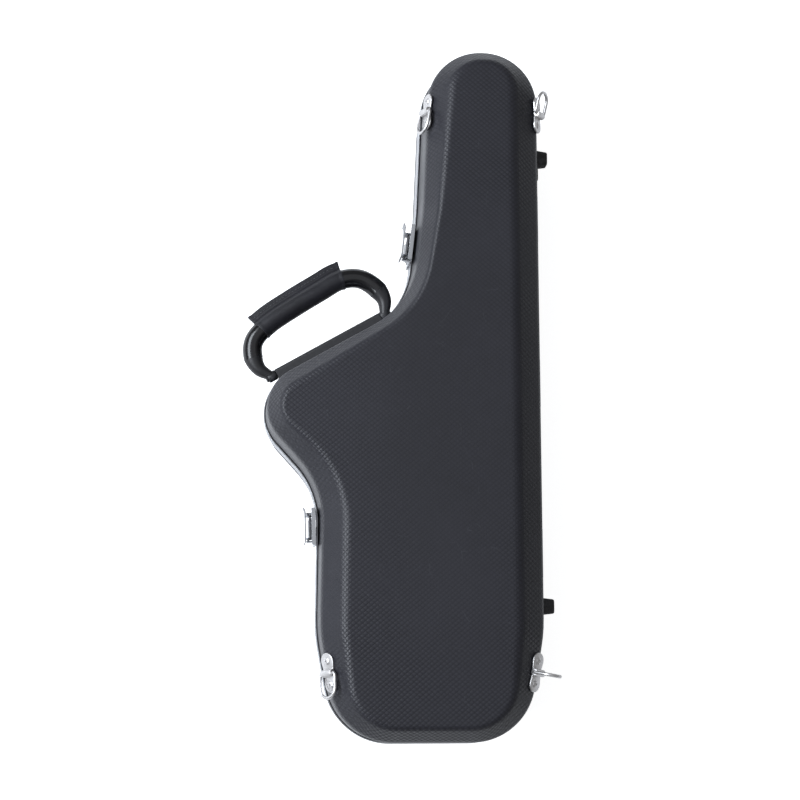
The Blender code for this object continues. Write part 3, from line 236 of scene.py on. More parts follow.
class Effect:
    """A node group with named inputs and outputs, built on its first use."""

    name = "effect"
    inputs: tuple[tuple[str, str, object], ...] = ()
    outputs: tuple[str, ...] = ("Height",)

    def group(self) -> bpy.types.NodeTree:
        """Find the effect's node group, or build it.

        Returns:
            The group.
        """
        found = bpy.data.node_groups.get(self.name)
        if found:
            return found
        tree = bpy.data.node_groups.new(self.name, "ShaderNodeTree")
        for name, kind, value in self.inputs:
            socket = tree.interface.new_socket(name, in_out="INPUT", socket_type="NodeSocket" + kind)
            if value is not None:
                socket.default_value = value
        for name in self.outputs:
            tree.interface.new_socket(name, in_out="OUTPUT", socket_type="NodeSocketFloat")
        graph = Graph(tree)
        source = tree.nodes.new("NodeGroupInput")
        target = tree.nodes.new("NodeGroupOutput")
        results = self.draw(graph, source.outputs)
        for name, result in zip(self.outputs, results):
            graph.feed(target.inputs[name], result)
        return tree

    def draw(self, graph: Graph, given: object) -> tuple[Socket, ...]:
        """Draw the effect's nodes.

        Args:
            graph: the group's graph
            given: the group's input sockets, by name

        Returns:
            One socket for each output.
        """
        raise NotImplementedError


class WeaveRelief(Effect):
    """A crosshatch of raised diamonds at 45 degrees, laid on from the side that a surface faces.

    Attributes:
        side_power: how sharply the three sides' patterns part where the surface turns
        crown: how full the diamonds are, fuller below 1
        middle: the height at which a faded pattern levels out
        cloud_scale: how small the patches are in which the pattern fades
        cloud_span: the values of the cloud where the fading starts and where it is full
    """

    name = "weave_relief"
    inputs = (("Point", "Vector", None), ("Facing", "Vector", None), ("Pitch", "Float", 0.0045),
              ("Width", "Float", 1.2), ("Wander", "Float", 0.0), ("Strength", "Float", 1.0))
    outputs = ("Height", "Groove")
    side_power = 6.0
    crown = 0.55
    middle = 0.45
    cloud_scale = 9.0
    cloud_span = (0.35, 0.7)

    def diamonds(self, graph: Graph, across: Socket, along: Socket, wave: Socket) -> Socket:
        """Cross two families of slanting lines and round the diamonds between them.

        Args:
            graph: the group's graph
            across: the place across the diamonds, scaled by their width
            along: the place along them
            wave: half turns of the lines' wave for each metre

        Returns:
            The diamonds' height, from 0 in the grooves to 1.
        """
        lines = []
        for operation in ("ADD", "SUBTRACT"):
            run = graph.calc("MULTIPLY", graph.calc(operation, across, along), wave)
            lines.append(graph.calc("ABSOLUTE", graph.calc("SINE", run)))
        return graph.calc("POWER", graph.calc("MULTIPLY", *lines), self.crown)

    def draw(self, graph: Graph, given: object) -> tuple[Socket, ...]:
        """Draw the diamonds on three planes and mix them by the way the surface faces."""
        place = graph.add("SeparateXYZ")
        graph.feed(place.inputs[0], given["Point"])
        x, y, z = place.outputs
        turn = graph.add("SeparateXYZ")
        graph.feed(turn.inputs[0], graph.vector("ABSOLUTE", given["Facing"]))
        wave = graph.calc("DIVIDE", math.pi, given["Pitch"])
        shares = [graph.calc("POWER", axis, self.side_power) for axis in turn.outputs]
        total = graph.calc("ADD", graph.calc("ADD", shares[0], shares[1]), shares[2])
        height: object = 0.0
        for (across, along), share in zip(((z, y), (x, z), (x, y)), shares):
            scaled = graph.calc("DIVIDE", across, given["Width"])
            diamond = self.diamonds(graph, scaled, along, wave)
            height = graph.calc("ADD", height, graph.calc("MULTIPLY", diamond, share))
        height = graph.calc("DIVIDE", height, total)
        cloud = graph.span(graph.noise(given["Point"], self.cloud_scale, 2.0), *self.cloud_span)
        fade = graph.calc("SUBTRACT", 1.0, graph.calc("MULTIPLY", cloud, given["Wander"]))
        fade = graph.calc("MULTIPLY", fade, given["Strength"])
        height = graph.calc("MULTIPLY_ADD", graph.calc("SUBTRACT", height, self.middle), fade,
                            self.middle)
        return height, graph.calc("SUBTRACT", 1.0, height)


class Mottle(Effect):
    """Cloudy handling marks with fine specks, which vary a sheen.

    Attributes:
        fineness: how many times finer the specks are than the cloud
        fine_share: the specks' share of the value
    """

    name = "mottle"
    inputs = (("Point", "Vector", None), ("Scale", "Float", 12.0), ("Low", "Float", 0.3),
              ("High", "Float", 0.5))
    outputs = ("Value",)
    fineness = 14.0
    fine_share = 0.25

    def draw(self, graph: Graph, given: object) -> tuple[Socket, ...]:
        """Mix a slow cloud and a fine one."""
        slow = graph.noise(given["Point"], given["Scale"], 4.0, 0.6)
        fine = graph.noise(given["Point"], graph.calc("MULTIPLY", given["Scale"], self.fineness), 2.0)
        share = graph.calc("ADD", graph.calc("MULTIPLY", slow, 1 - self.fine_share),
                           graph.calc("MULTIPLY", fine, self.fine_share))
        share = graph.span(share, 0.3, 0.7)
        reach = graph.calc("SUBTRACT", given["High"], given["Low"])
        return (graph.calc("MULTIPLY_ADD", share, reach, given["Low"]),)


class EdgeWear(Effect):
    """A broken mask along outer edges, where handling has rubbed the surface.

    Attributes:
        edge_span: the pointiness where the wear starts and where it is full
        break_span: the values of the cloud that breaks it up
    """

    name = "edge_wear"
    inputs = (("Point", "Vector", None), ("Amount", "Float", 0.5), ("Scale", "Float", 160.0))
    outputs = ("Mask",)
    edge_span = (0.51, 0.58)
    break_span = (0.42, 0.62)

    def draw(self, graph: Graph, given: object) -> tuple[Socket, ...]:
        """Take the convex edges and break them up with a cloud."""
        edge = graph.add("NewGeometry").outputs["Pointiness"]
        rim = graph.span(edge, *self.edge_span)
        cloud = graph.span(graph.noise(given["Point"], given["Scale"], 4.0, 0.65), *self.break_span)
        return (graph.calc("MULTIPLY", graph.calc("MULTIPLY", rim, cloud), given["Amount"]),)


class Scuffs(Effect):
    """Sparse short scratches that run in all directions.

    Attributes:
        bend_scale: how close together the scratches bend
        bend_reach: how far they bend, in metres
        line_width: their width as a share of a cell
        spot_scale: how small the scratched patches are
        spot_span: the values of the cloud between no scratch and a full one
    """

    name = "scuffs"
    inputs = (("Point", "Vector", None), ("Scale", "Float", 40.0), ("Amount", "Float", 0.5))
    outputs = ("Mask",)
    bend_scale = 22.0
    bend_reach = 0.02
    line_width = 0.012
    spot_scale = 55.0
    spot_span = (0.56, 0.66)

    def draw(self, graph: Graph, given: object) -> tuple[Socket, ...]:
        """Bend the place, then keep thin cell borders where a slow cloud allows them."""
        bend = graph.add("TexNoise")
        graph.feed(bend.inputs["Vector"], given["Point"])
        bend.inputs["Scale"].default_value = self.bend_scale
        shift = graph.vector("SCALE", bend.outputs["Color"])
        shift.node.inputs["Scale"].default_value = self.bend_reach
        cells = graph.add("TexVoronoi", feature="DISTANCE_TO_EDGE")
        graph.feed(cells.inputs["Vector"], graph.vector("ADD", given["Point"], shift))
        graph.feed(cells.inputs["Scale"], given["Scale"])
        line = graph.span(cells.outputs["Distance"], 0.0, self.line_width, (1, 0))
        spots = graph.span(graph.noise(given["Point"], self.spot_scale, 2.0), *self.spot_span)
        return (graph.calc("MULTIPLY", graph.calc("MULTIPLY", line, spots), given["Amount"]),)


class LeatherGrain(Effect):
    """Pebbled leather: small rounded cells with creases between them.

    Attributes:
        pebble_edge: how far in a pebble is rounded, as a share of a cell
        crease_edge: how far in its crease reaches
        swell_scale: the slow swell's scale, as a share of the pebbles'
        pebble_height: the pebbles' part of the height
        swell_height: the swell's part
    """

    name = "leather_grain"
    inputs = (("Point", "Vector", None), ("Scale", "Float", 900.0))
    outputs = ("Height", "Crease")
    pebble_edge = 0.35
    crease_edge = 0.12
    swell_scale = 0.12
    pebble_height = 0.6
    swell_height = 0.8

    def draw(self, graph: Graph, given: object) -> tuple[Socket, ...]:
        """Round each cell and add a slower swell."""
        cells = graph.add("TexVoronoi", feature="DISTANCE_TO_EDGE")
        graph.feed(cells.inputs["Vector"], given["Point"])
        graph.feed(cells.inputs["Scale"], given["Scale"])
        pebble = graph.span(cells.outputs["Distance"], 0.0, self.pebble_edge)
        slow = graph.calc("MULTIPLY", given["Scale"], self.swell_scale)
        swell = graph.noise(given["Point"], slow, 3.0)
        height = graph.calc("ADD", graph.calc("MULTIPLY", pebble, self.pebble_height),
                            graph.calc("MULTIPLY", swell, self.swell_height))
        return height, graph.span(cells.outputs["Distance"], 0.0, self.crease_edge, (1, 0))


class BrushLines(Effect):
    """Fine lines left by brushing or drawing a metal, long along the axes that Along shrinks."""

    name = "brush_lines"
    inputs = (("Point", "Vector", None), ("Along", "Vector", (1.0, 0.03, 1.0)),
              ("Scale", "Float", 2500.0))
    outputs = ("Height",)

    def draw(self, graph: Graph, given: object) -> tuple[Socket, ...]:
        """Stretch a fine noise along the brushing."""
        point = graph.vector("MULTIPLY", given["Point"], given["Along"])
        return (graph.noise(point, given["Scale"], 2.0, 0.6),)


class PileNap(Effect):
    """Short upright pile, brushed in patches.

    Attributes:
        patch_scale: how small the patches are
        patch_span: the values of the cloud between two patches
        patch_height: how much a patch adds to the height
    """

    name = "pile_nap"
    inputs = (("Point", "Vector", None), ("Scale", "Float", 1100.0))
    outputs = ("Height", "Patch")
    patch_scale = 26.0
    patch_span = (0.35, 0.65)
    patch_height = 0.4

    def draw(self, graph: Graph, given: object) -> tuple[Socket, ...]:
        """Mix single tufts and the slow patches that a hand leaves."""
        tuft = graph.noise(given["Point"], given["Scale"], 3.0, 0.8)
        patch = graph.span(graph.noise(given["Point"], self.patch_scale, 3.0, 0.6), *self.patch_span)
        return graph.calc("ADD", tuft, graph.calc("MULTIPLY", patch, self.patch_height)), patch


# Finishes


@dataclass(frozen=True)
class Finish:
    """A surface finish, made as one Principled material.

    Attributes:
        name: the material's name
        slot: the record's material slot that it belongs to; it is not used
        colour: the main colour, linear
        roughness: how far the sheen is spread
        metallic: 1 for a bare metal
        specular: how strongly a bare surface shines; 0.5 is common
    """

    name: str
    slot: str
    colour: Colour
    roughness: float
    metallic: float = 0.0
    specular: float = 0.5

    def material(self) -> bpy.types.Material:
        """Find the finish's material, or make it.

        Returns:
            The material.
        """
        found = bpy.data.materials.get(self.name)
        if found:
            return found
        made = bpy.data.materials.new(self.name)
        made.use_nodes = True
        shader = made.node_tree.nodes["Principled BSDF"]
        shader.inputs["Base Color"].default_value = (*self.colour, 1)
        shader.inputs["Roughness"].default_value = self.roughness
        shader.inputs["Metallic"].default_value = self.metallic
        shader.inputs["Specular IOR Level"].default_value = self.specular
        self.draw(Graph(made.node_tree), shader)
        return made

    def draw(self, graph: Graph, shader: bpy.types.Node) -> None:
        """Draw what varies over the surface; each finish does this its own way."""
        raise NotImplementedError

    def relief(self, graph: Graph, shader: bpy.types.Node,
               *steps: tuple[Socket, float, float]) -> None:
        """Raise the surface by heights.

        Args:
            graph: the material's graph
            shader: the material's Principled node
            steps: each height with its strength and its depth in metres
        """
        normal = None
        for height, strength, depth in steps:
            bump = graph.add("Bump")
            bump.inputs["Strength"].default_value = strength
            bump.inputs["Distance"].default_value = depth
            graph.feed(bump.inputs["Height"], height)
            if normal:
                graph.feed(bump.inputs["Normal"], normal)
            normal = bump.outputs["Normal"]
        graph.feed(shader.inputs["Normal"], normal)

    def shade(self, factor: float) -> Colour:
        """The main colour made darker or lighter."""
        return tuple(min(1.0, part * factor) for part in self.colour)


@dataclass(frozen=True)
class WovenPlastic(Finish):
    """Satin moulded plastic with an embossed crosshatch, painted shade in its grooves, rubbed paler
    along its crests.

    The crosshatch is shallower round the place where the sheet stretched most in the mould.

    Attributes:
        pitch: the crosshatch's pitch
        depth: its depth
        wander: how much of its depth it loses in patches
        stretched: the place where it is faintest
        reach: by how much the distance from that place is scaled along each axis
        fade: the scaled distances where it starts to deepen and where it is full
        faintest: the share of its depth that is left at that place
        groove_painted_shade: how far the grooves are darkened with painted shade
        groove_rough: how much rougher they are
        wear_colour: the colour of rubbed edges and scratches
    """

    pitch: float = 0.0045
    depth: float = 0.00036
    wander: float = 0.4
    stretched: tuple[float, float] = (0.02, -0.03)
    reach: tuple[float, float, float] = (10, 4.5, 0)
    fade: tuple[float, float] = (0.35, 1.25)
    faintest: float = 0.3
    groove_painted_shade: float = 0.7
    groove_rough: float = 0.16
    wear_colour: Colour = (0.05, 0.052, 0.06)

    def weave(self, graph: Graph, point: Socket) -> bpy.types.NodeOutputs:
        """Place the crosshatch, fainter round the stretched place.

        Args:
            graph: the material's graph
            point: the place on the piece

        Returns:
            The crosshatch's outputs.
        """
        apart = graph.vector("SUBTRACT", point, (*self.stretched, 0.0))
        spread = graph.add("VectorMath", operation="LENGTH")
        graph.feed(spread.inputs[0], graph.vector("MULTIPLY", apart, self.reach))
        strength = graph.span(spread.outputs["Value"], *self.fade, (self.faintest, 1))
        return graph.effect(WeaveRelief(), Point=point, Facing=graph.facing(), Pitch=self.pitch,
                            Wander=self.wander, Strength=strength)

    def draw(self, graph: Graph, shader: bpy.types.Node) -> None:
        """Draw the weave with painted shade in its grooves, the handling marks, the scuffs and the worn
        edges.
        """
        point = graph.place()
        weave = self.weave(graph, point)
        cloud = graph.effect(Mottle(), Point=point, Scale=9.0, Low=0.0, High=1.0)
        wear = graph.effect(EdgeWear(), Point=point, Amount=0.35, Scale=220.0)
        scuff = graph.effect(Scuffs(), Point=point, Scale=34.0, Amount=0.3)
        ground = graph.tint(cloud["Value"], self.shade(0.86), self.shade(1.14))
        groove = weave["Groove"]
        # Painted shade: the crosshatch's grooves are mixed towards a much darker colour
        ground = graph.tint(graph.calc("MULTIPLY", groove, self.groove_painted_shade), ground, self.shade(0.2))
        rubbed = graph.calc("MAXIMUM", wear["Mask"], scuff["Mask"])
        graph.feed(shader.inputs["Base Color"], graph.tint(rubbed, ground, self.wear_colour))
        sheen = graph.effect(Mottle(), Point=point, Scale=16.0, Low=self.roughness - 0.05,
                             High=self.roughness + 0.06)
        rough = graph.calc("ADD", sheen["Value"], graph.calc("MULTIPLY", groove, self.groove_rough))
        graph.feed(shader.inputs["Roughness"], rough)
        ripple = graph.noise(point, 14.0, 2.0, 0.4)
        grit = graph.noise(point, 2600.0, 2.0, 0.6)
        self.relief(graph, shader, (ripple, 0.5, 0.0006), (weave["Height"], 0.9, self.depth),
                    (grit, 0.35, 0.00002))


@dataclass(frozen=True)
class GlossPlastic(Finish):
    """Smooth dark plastic with a soft gloss, fine scratches and faint moulding flow."""

    gloss: float = 0.3
    grain_depth: float = 0.00003

    def draw(self, graph: Graph, shader: bpy.types.Node) -> None:
        """Draw the flow, the scratches, the rubbed edges and the fine grain."""
        point = graph.place()
        cloud = graph.effect(Mottle(), Point=point, Scale=30.0, Low=0.0, High=1.0)
        scuff = graph.effect(Scuffs(), Point=point, Scale=75.0, Amount=0.4)
        wear = graph.effect(EdgeWear(), Point=point, Amount=0.3, Scale=300.0)
        ground = graph.tint(cloud["Value"], self.shade(0.85), self.shade(1.2))
        rubbed = graph.calc("MAXIMUM", wear["Mask"], scuff["Mask"])
        graph.feed(shader.inputs["Base Color"], graph.tint(rubbed, ground, self.shade(2.6)))
        sheen = graph.effect(Mottle(), Point=point, Scale=45.0, Low=self.roughness - 0.04,
                             High=self.roughness + 0.07)
        graph.feed(shader.inputs["Roughness"],
                   graph.calc("ADD", sheen["Value"], graph.calc("MULTIPLY", rubbed, 0.25)))
        shader.inputs["Coat Weight"].default_value = self.gloss
        shader.inputs["Coat Roughness"].default_value = 0.12
        grain = graph.noise(point, 1800.0, 3.0, 0.6)
        flow = graph.noise(graph.vector("MULTIPLY", point, (1.0, 1.0, 3.0)), 60.0, 2.0)
        self.relief(graph, shader, (flow, 0.3, 0.0002), (grain, 0.5, self.grain_depth))


@dataclass(frozen=True)
class PlatedMetal(Finish):
    """Bright plating with faint polishing lines, a little haze, scratches and dulled spots."""

    haze: float = 0.08
    line_depth: float = 0.000008

    def draw(self, graph: Graph, shader: bpy.types.Node) -> None:
        """Draw the polishing lines, the haze, the scratches and the dulled spots."""
        point = graph.place()
        lines = graph.effect(BrushLines(), Point=point, Along=(1.0, 0.08, 1.0), Scale=1800.0)
        cloud = graph.effect(Mottle(), Point=point, Scale=60.0, Low=self.roughness - 0.03,
                             High=self.roughness + self.haze)
        scuff = graph.effect(Scuffs(), Point=point, Scale=140.0, Amount=0.5)
        dull = graph.span(graph.noise(point, 90.0, 4.0, 0.7), 0.55, 0.72)
        ground = graph.tint(graph.calc("MULTIPLY", dull, 0.4), self.colour, self.shade(0.72))
        graph.feed(shader.inputs["Base Color"], graph.tint(scuff["Mask"], ground, self.shade(0.6)))
        graph.feed(shader.inputs["Roughness"],
                   graph.calc("ADD", cloud["Value"],
                              graph.calc("MULTIPLY", scuff["Mask"], 0.2)))
        self.relief(graph, shader, (lines["Height"], 0.35, self.line_depth), (dull, 0.2, 0.00003))


@dataclass(frozen=True)
class DrawnAluminium(Finish):
    """Extruded aluminium with die lines, a dull oxide bloom and knocked corners."""

    def draw(self, graph: Graph, shader: bpy.types.Node) -> None:
        """Draw the die lines, which run level round the case, the bloom and the knocks."""
        point = graph.place()
        lines = graph.effect(BrushLines(), Point=point, Along=(0.05, 0.05, 1.0), Scale=2600.0)
        cloud = graph.effect(Mottle(), Point=point, Scale=28.0, Low=0.0, High=1.0)
        wear = graph.effect(EdgeWear(), Point=point, Amount=0.6, Scale=180.0)
        ground = graph.tint(cloud["Value"], self.shade(0.8), self.shade(1.08))
        graph.feed(shader.inputs["Base Color"], graph.tint(wear["Mask"], ground, self.shade(1.3)))
        rough = graph.effect(Mottle(), Point=point, Scale=70.0, Low=self.roughness - 0.05,
                             High=self.roughness + 0.12)
        graph.feed(shader.inputs["Roughness"], rough["Value"])
        self.relief(graph, shader, (lines["Height"], 0.4, 0.00001), (cloud["Value"], 0.15, 0.00008))


@dataclass(frozen=True)
class Leather(Finish):
    """Matt pebbled leather, polished in patches and rubbed paler along its edges."""

    grain: float = 1100.0

    def draw(self, graph: Graph, shader: bpy.types.Node) -> None:
        """Draw the pebbles, the creases, the rubbed edges and the polish."""
        point = graph.place()
        grain = graph.effect(LeatherGrain(), Point=point, Scale=self.grain)
        cloud = graph.effect(Mottle(), Point=point, Scale=38.0, Low=0.0, High=1.0)
        wear = graph.effect(EdgeWear(), Point=point, Amount=0.7, Scale=260.0)
        ground = graph.tint(cloud["Value"], self.shade(0.78), self.shade(1.25))
        crease = graph.calc("MULTIPLY", grain["Crease"], 0.5)
        ground = graph.tint(crease, ground, self.shade(0.45))
        graph.feed(shader.inputs["Base Color"], graph.tint(wear["Mask"], ground, self.shade(2.0)))
        polish = graph.effect(Mottle(), Point=point, Scale=24.0, Low=self.roughness - 0.08,
                              High=self.roughness + 0.08)
        graph.feed(shader.inputs["Roughness"], polish["Value"])
        shader.inputs["Sheen Weight"].default_value = 0.08
        shader.inputs["Sheen Roughness"].default_value = 0.5
        self.relief(graph, shader, (cloud["Value"], 0.3, 0.0005), (grain["Height"], 0.6, 0.00012))


@dataclass(frozen=True)
class Rubber(Finish):
    """Matt moulded rubber, cloudy, slightly pitted and rubbed paler along its edges."""

    def draw(self, graph: Graph, shader: bpy.types.Node) -> None:
        """Draw the pits, the clouds and the rubbed edges."""
        point = graph.place()
        pits = graph.noise(point, 1500.0, 4.0, 0.7)
        cloud = graph.effect(Mottle(), Point=point, Scale=50.0, Low=0.0, High=1.0)
        wear = graph.effect(EdgeWear(), Point=point, Amount=0.8, Scale=240.0)
        ground = graph.tint(cloud["Value"], self.shade(0.75), self.shade(1.35))
        graph.feed(shader.inputs["Base Color"], graph.tint(wear["Mask"], ground, self.shade(2.4)))
        graph.feed(shader.inputs["Roughness"],
                   graph.span(pits, 0.3, 0.7, (self.roughness - 0.1, 0.92)))
        self.relief(graph, shader, (pits, 0.5, 0.00006))


@dataclass(frozen=True)
class Plush(Finish):
    """Dense short pile glued over foam, with painted sheen that makes it lighter on tall tufts and
    where it is brushed up.
    """

    painted_sheen_colour: Colour = (0.05, 0.052, 0.062)

    def draw(self, graph: Graph, shader: bpy.types.Node) -> None:
        """Draw the tufts and the brushed patches, both made lighter with painted sheen."""
        point = graph.place()
        pile = graph.effect(PileNap(), Point=point, Scale=1300.0)
        # Painted sheen: taller tufts and brushed patches are mixed towards a lighter colour
        share = graph.calc("MULTIPLY_ADD", pile["Patch"], 0.22,
                           graph.calc("MULTIPLY", graph.span(pile["Height"], 0.3, 1.0), 0.5))
        graph.feed(shader.inputs["Base Color"], graph.tint(share, self.colour, self.painted_sheen_colour))
        graph.feed(shader.inputs["Roughness"], graph.span(pile["Patch"], 0, 1, (0.85, 0.97)))
        shader.inputs["Sheen Weight"].default_value = 0.45
        shader.inputs["Sheen Roughness"].default_value = 0.35
        self.relief(graph, shader, (pile["Height"], 0.9, 0.0005))


@dataclass(frozen=True)
class Thread(Finish):
    """Waxed sewing thread with a twist."""

    def draw(self, graph: Graph, shader: bpy.types.Node) -> None:
        """Draw the twist across each stitch."""
        point = graph.place()
        wave = graph.add("TexWave", wave_type="BANDS", bands_direction="DIAGONAL")
        graph.feed(wave.inputs["Vector"], point)
        wave.inputs["Scale"].default_value = 900.0
        wave.inputs["Distortion"].default_value = 1.5
        graph.feed(shader.inputs["Base Color"],
                   graph.tint(wave.outputs["Fac"], self.shade(0.6), self.shade(1.3)))
        graph.feed(shader.inputs["Roughness"], graph.span(wave.outputs["Fac"], 0, 1, (0.55, 0.75)))
        self.relief(graph, shader, (wave.outputs["Fac"], 0.6, 0.00008))


SHELL_PLASTIC = WovenPlastic(
    name="shell_woven_plastic", slot="shell_plastic", colour=(0.0212, 0.0213, 0.0280),
    roughness=0.35, specular=0.34)
VALANCE_ALUMINIUM = DrawnAluminium(
    name="valance_drawn_aluminium", slot="valance_aluminium", colour=(0.42, 0.43, 0.45),
    roughness=0.3, metallic=1.0)
SEAL_RUBBER = Rubber(
    name="seal_soft_rubber", slot="seal_rubber", colour=(0.016, 0.016, 0.017), roughness=0.8)
LINING_PLUSH = Plush(
    name="lining_short_plush", slot="lining_plush", colour=(0.016, 0.016, 0.02), roughness=0.95)
HINGE_STEEL = PlatedMetal(
    name="hinge_plated_steel", slot="hinge_steel", colour=(0.56, 0.56, 0.58),
    roughness=0.3, metallic=1.0)
LATCH_CHROME = PlatedMetal(
    name="latch_polished_chrome", slot="latch_chrome", colour=(0.42, 0.43, 0.45),
    roughness=0.22, metallic=1.0)
LEVER_CHROME = PlatedMetal(
    name="lever_satin_chrome", slot="latch_chrome", colour=(0.30, 0.305, 0.32),
    roughness=0.3, metallic=1.0)
BRACKET_NICKEL = PlatedMetal(
    name="bracket_satin_nickel", slot="bracket_nickel", colour=(0.62, 0.61, 0.61),
    roughness=0.38, metallic=1.0)
HANDLE_GLOSS = GlossPlastic(
    name="handle_gloss_plastic", slot="handle_plastic", colour=(0.004, 0.004, 0.005),
    roughness=0.2, specular=0.3)
HANDLE_MATT = GlossPlastic(
    name="handle_matt_plastic", slot="handle_plastic", colour=(0.0065, 0.0065, 0.0080),
    roughness=0.45, gloss=0.0, grain_depth=0.00006)
GRIP_LEATHER = Leather(
    name="grip_pebbled_leather", slot="grip_leather", colour=(0.0070, 0.0070, 0.0105),
    roughness=0.40, specular=0.35)
GRIP_THREAD = Thread(
    name="grip_waxed_thread", slot="grip_leather", colour=(0.05, 0.05, 0.055), roughness=0.65)
FOOT_RUBBER = Rubber(
    name="foot_moulded_rubber", slot="foot_rubber", colour=(0.022, 0.022, 0.024), roughness=0.75)


# Mesh helpers

# Points nearer than these are one point: in a mesh, at a spun shape's pole and in the foam
SAME_PLACE = 1e-6
SAME_POLE = 1e-7
SAME_FOAM = 1e-5
# Faces that turn by less than the first are one face; a plate's rim turns by more than the second
FLAT_DEG = 1.0
RIM_DEG = 60.0


@dataclass(frozen=True)
class Arc:
    """One rounded corner of a path: where it starts, what it turns round and by how much.

    The unmoved path's turn sets how many edges it has, so that all its offsets have the same.
    """

    start: Vector
    centre: Vector
    turn: float = 0.0
    unmoved: float = 0.0

    def steps(self, step_deg: float) -> int:
        """How many edges the corner has at a step."""
        return max(1, round(abs(math.degrees(self.unmoved)) / step_deg)) if self.turn else 0

    def points(self, step_deg: float) -> list[Vector]:
        """The corner's points.

        Args:
            step_deg: the step of its rounding

        Returns:
            The points in order, or the one point of a sharp corner.
        """
        count = self.steps(step_deg)
        if not count:
            return [self.start]
        arm = self.start - self.centre
        return [self.centre + Matrix.Rotation(self.turn * i / count, 2) @ arm for i in range(count + 1)]


def round_corners(corners: list[tuple[float, float]], radii: list[float],
                  offset: float | Insets = 0.0, closed: bool = True) -> list[Arc]:
    """Round the corners of a path and move it to its left.

    Args:
        corners: the path's sharp corners
        radii: a radius for each corner, limited by the edges that meet there
        offset: how far to move the path, or how far the edges before and after each corner move
        closed: whether the last corner joins the first

    Returns:
        An arc for each corner; the ends of an open path turn by nothing.
    """
    # However far the path moves, a corner keeps this share of its radius
    least_share = 0.01
    points = [Vector(corner) for corner in corners]
    count = len(points)
    offsets = offset if isinstance(offset, tuple) else ((offset, offset),) * count
    ahead = points[1:] + [points[0] if closed else 2 * points[-1] - points[-2]]
    behind = [points[-1] if closed else 2 * points[0] - points[1]] + points[:-1]
    moved, turns = [], []
    for corner, before, after, (first, second) in zip(points, behind, ahead, offsets):
        way_in, way_out = (corner - before).normalized(), (after - corner).normalized()
        left_in, left_out = Vector((-way_in.y, way_in.x)), Vector((-way_out.y, way_out.x))
        place = corner + (first + second) / 2 * (left_in + left_out) / (1 + left_in.dot(left_out))
        if first != second:
            place += (second - first) / 2 * (left_out - left_in) / (1 - left_in.dot(left_out))
        moved.append(place)
        turns.append(math.atan2(way_in.cross(way_out), way_in.dot(way_out)))
    arcs = []
    for i, place in enumerate(moved):
        if not radii[i] or not closed and i in (0, count - 1):
            arcs.append(Arc(place, place))
            continue
        side = math.copysign(1, turns[i])
        room = min((points[i] - behind[i]).length, (ahead[i] - points[i]).length) / 2
        reach = max(side * part for part in offsets[i])
        widest = room / math.tan(abs(turns[i]) / 2)
        radius = max(min(radii[i], widest) - reach, least_share * radii[i])
        way_in = (place - moved[i - 1]).normalized()
        way_out = (moved[(i + 1) % count] - place).normalized()
        turn = math.atan2(way_in.cross(way_out), way_in.dot(way_out))
        start = place - radius * math.tan(abs(turn) / 2) * way_in
        centre = start + side * radius * Vector((-way_in.y, way_in.x))
        arcs.append(Arc(start, centre, turn, turns[i]))
    return arcs


def draw_ring(mesh: Mesh, arcs: list[Arc], height: float, step_deg: float) -> Edges:
    """Draw a closed ring of edges at a height, spinning a vertex round each corner.

    Args:
        mesh: the mesh to draw in
        arcs: the ring's corners
        height: the ring's place along Z
        step_deg: the step of the corners

    Returns:
        The ring's edges.
    """
    before = set(mesh.edges)
    ends = []
    for arc in arcs:
        first = last = mesh.verts.new((*arc.start, height))
        if arc.turn:
            spun = bmesh.ops.spin(mesh, geom=[first], cent=(*arc.centre, height), axis=(0, 0, 1),
                                  dvec=(0, 0, 0), angle=arc.turn, steps=arc.steps(step_deg),
                                  use_merge=False, use_normal_flip=False, use_duplicate=False)
            last = next(item for item in spun["geom_last"] if isinstance(item, bmesh.types.BMVert))
        ends.append((first, last))
    for (_, last), (first, _) in zip(ends, ends[1:] + ends[:1]):
        mesh.edges.new((last, first))
    return [edge for edge in mesh.edges if edge not in before]


def frame_of(origin: Vector, x_axis: Vector, y_axis: Vector, z_axis: Vector) -> Matrix:
    """A frame from its origin and its three axes."""
    turn = Matrix((x_axis, y_axis, z_axis)).transposed()
    return Matrix.Translation(origin) @ turn.to_4x4()


def sweep(mesh: Mesh, edges: Edges, frames: list[Matrix], closed: bool = False) -> None:
    """Extrude a section, drawn round the origin, along frames.

    Args:
        mesh: the mesh that holds the section
        edges: the section's closed loop of edges, in the XY plane
        frames: where the section stands at each station
        closed: whether the last section joins the first; otherwise both ends are capped
    """
    verts = list(dict.fromkeys(vert for edge in edges for vert in edge.verts))
    bmesh.ops.transform(mesh, matrix=frames[0], verts=verts)
    first = list(edges)
    at = frames[0]
    for target in frames[1:]:
        made = bmesh.ops.extrude_edge_only(mesh, edges=edges)["geom"]
        verts = [item for item in made if isinstance(item, bmesh.types.BMVert)]
        edges = [item for item in made if isinstance(item, bmesh.types.BMEdge)]
        bmesh.ops.transform(mesh, matrix=target @ at.inverted(), verts=verts)
        at = target
    if closed:
        bmesh.ops.bridge_loops(mesh, edges=[*edges, *first])
    else:
        for loop in (first, edges):
            bmesh.ops.edgeloop_fill(mesh, edges=loop)
    bmesh.ops.recalc_face_normals(mesh, faces=mesh.faces)


def draw_section(mesh: Mesh, points: list[tuple[float, float]]) -> Edges:
    """Draw a small closed section in the XY plane and return its edges."""
    verts = [mesh.verts.new((x, y, 0)) for x, y in points]
    return [mesh.edges.new((verts[i - 1], verts[i])) for i in range(len(verts))]


def draw_circle(mesh: Mesh, radius: float, sides: int) -> Edges:
    """Draw a circle in the XY plane and return its edges."""
    made = bmesh.ops.create_circle(mesh, cap_ends=False, segments=sides, radius=radius)["verts"]
    return list(dict.fromkeys(edge for vert in made for edge in vert.link_edges))


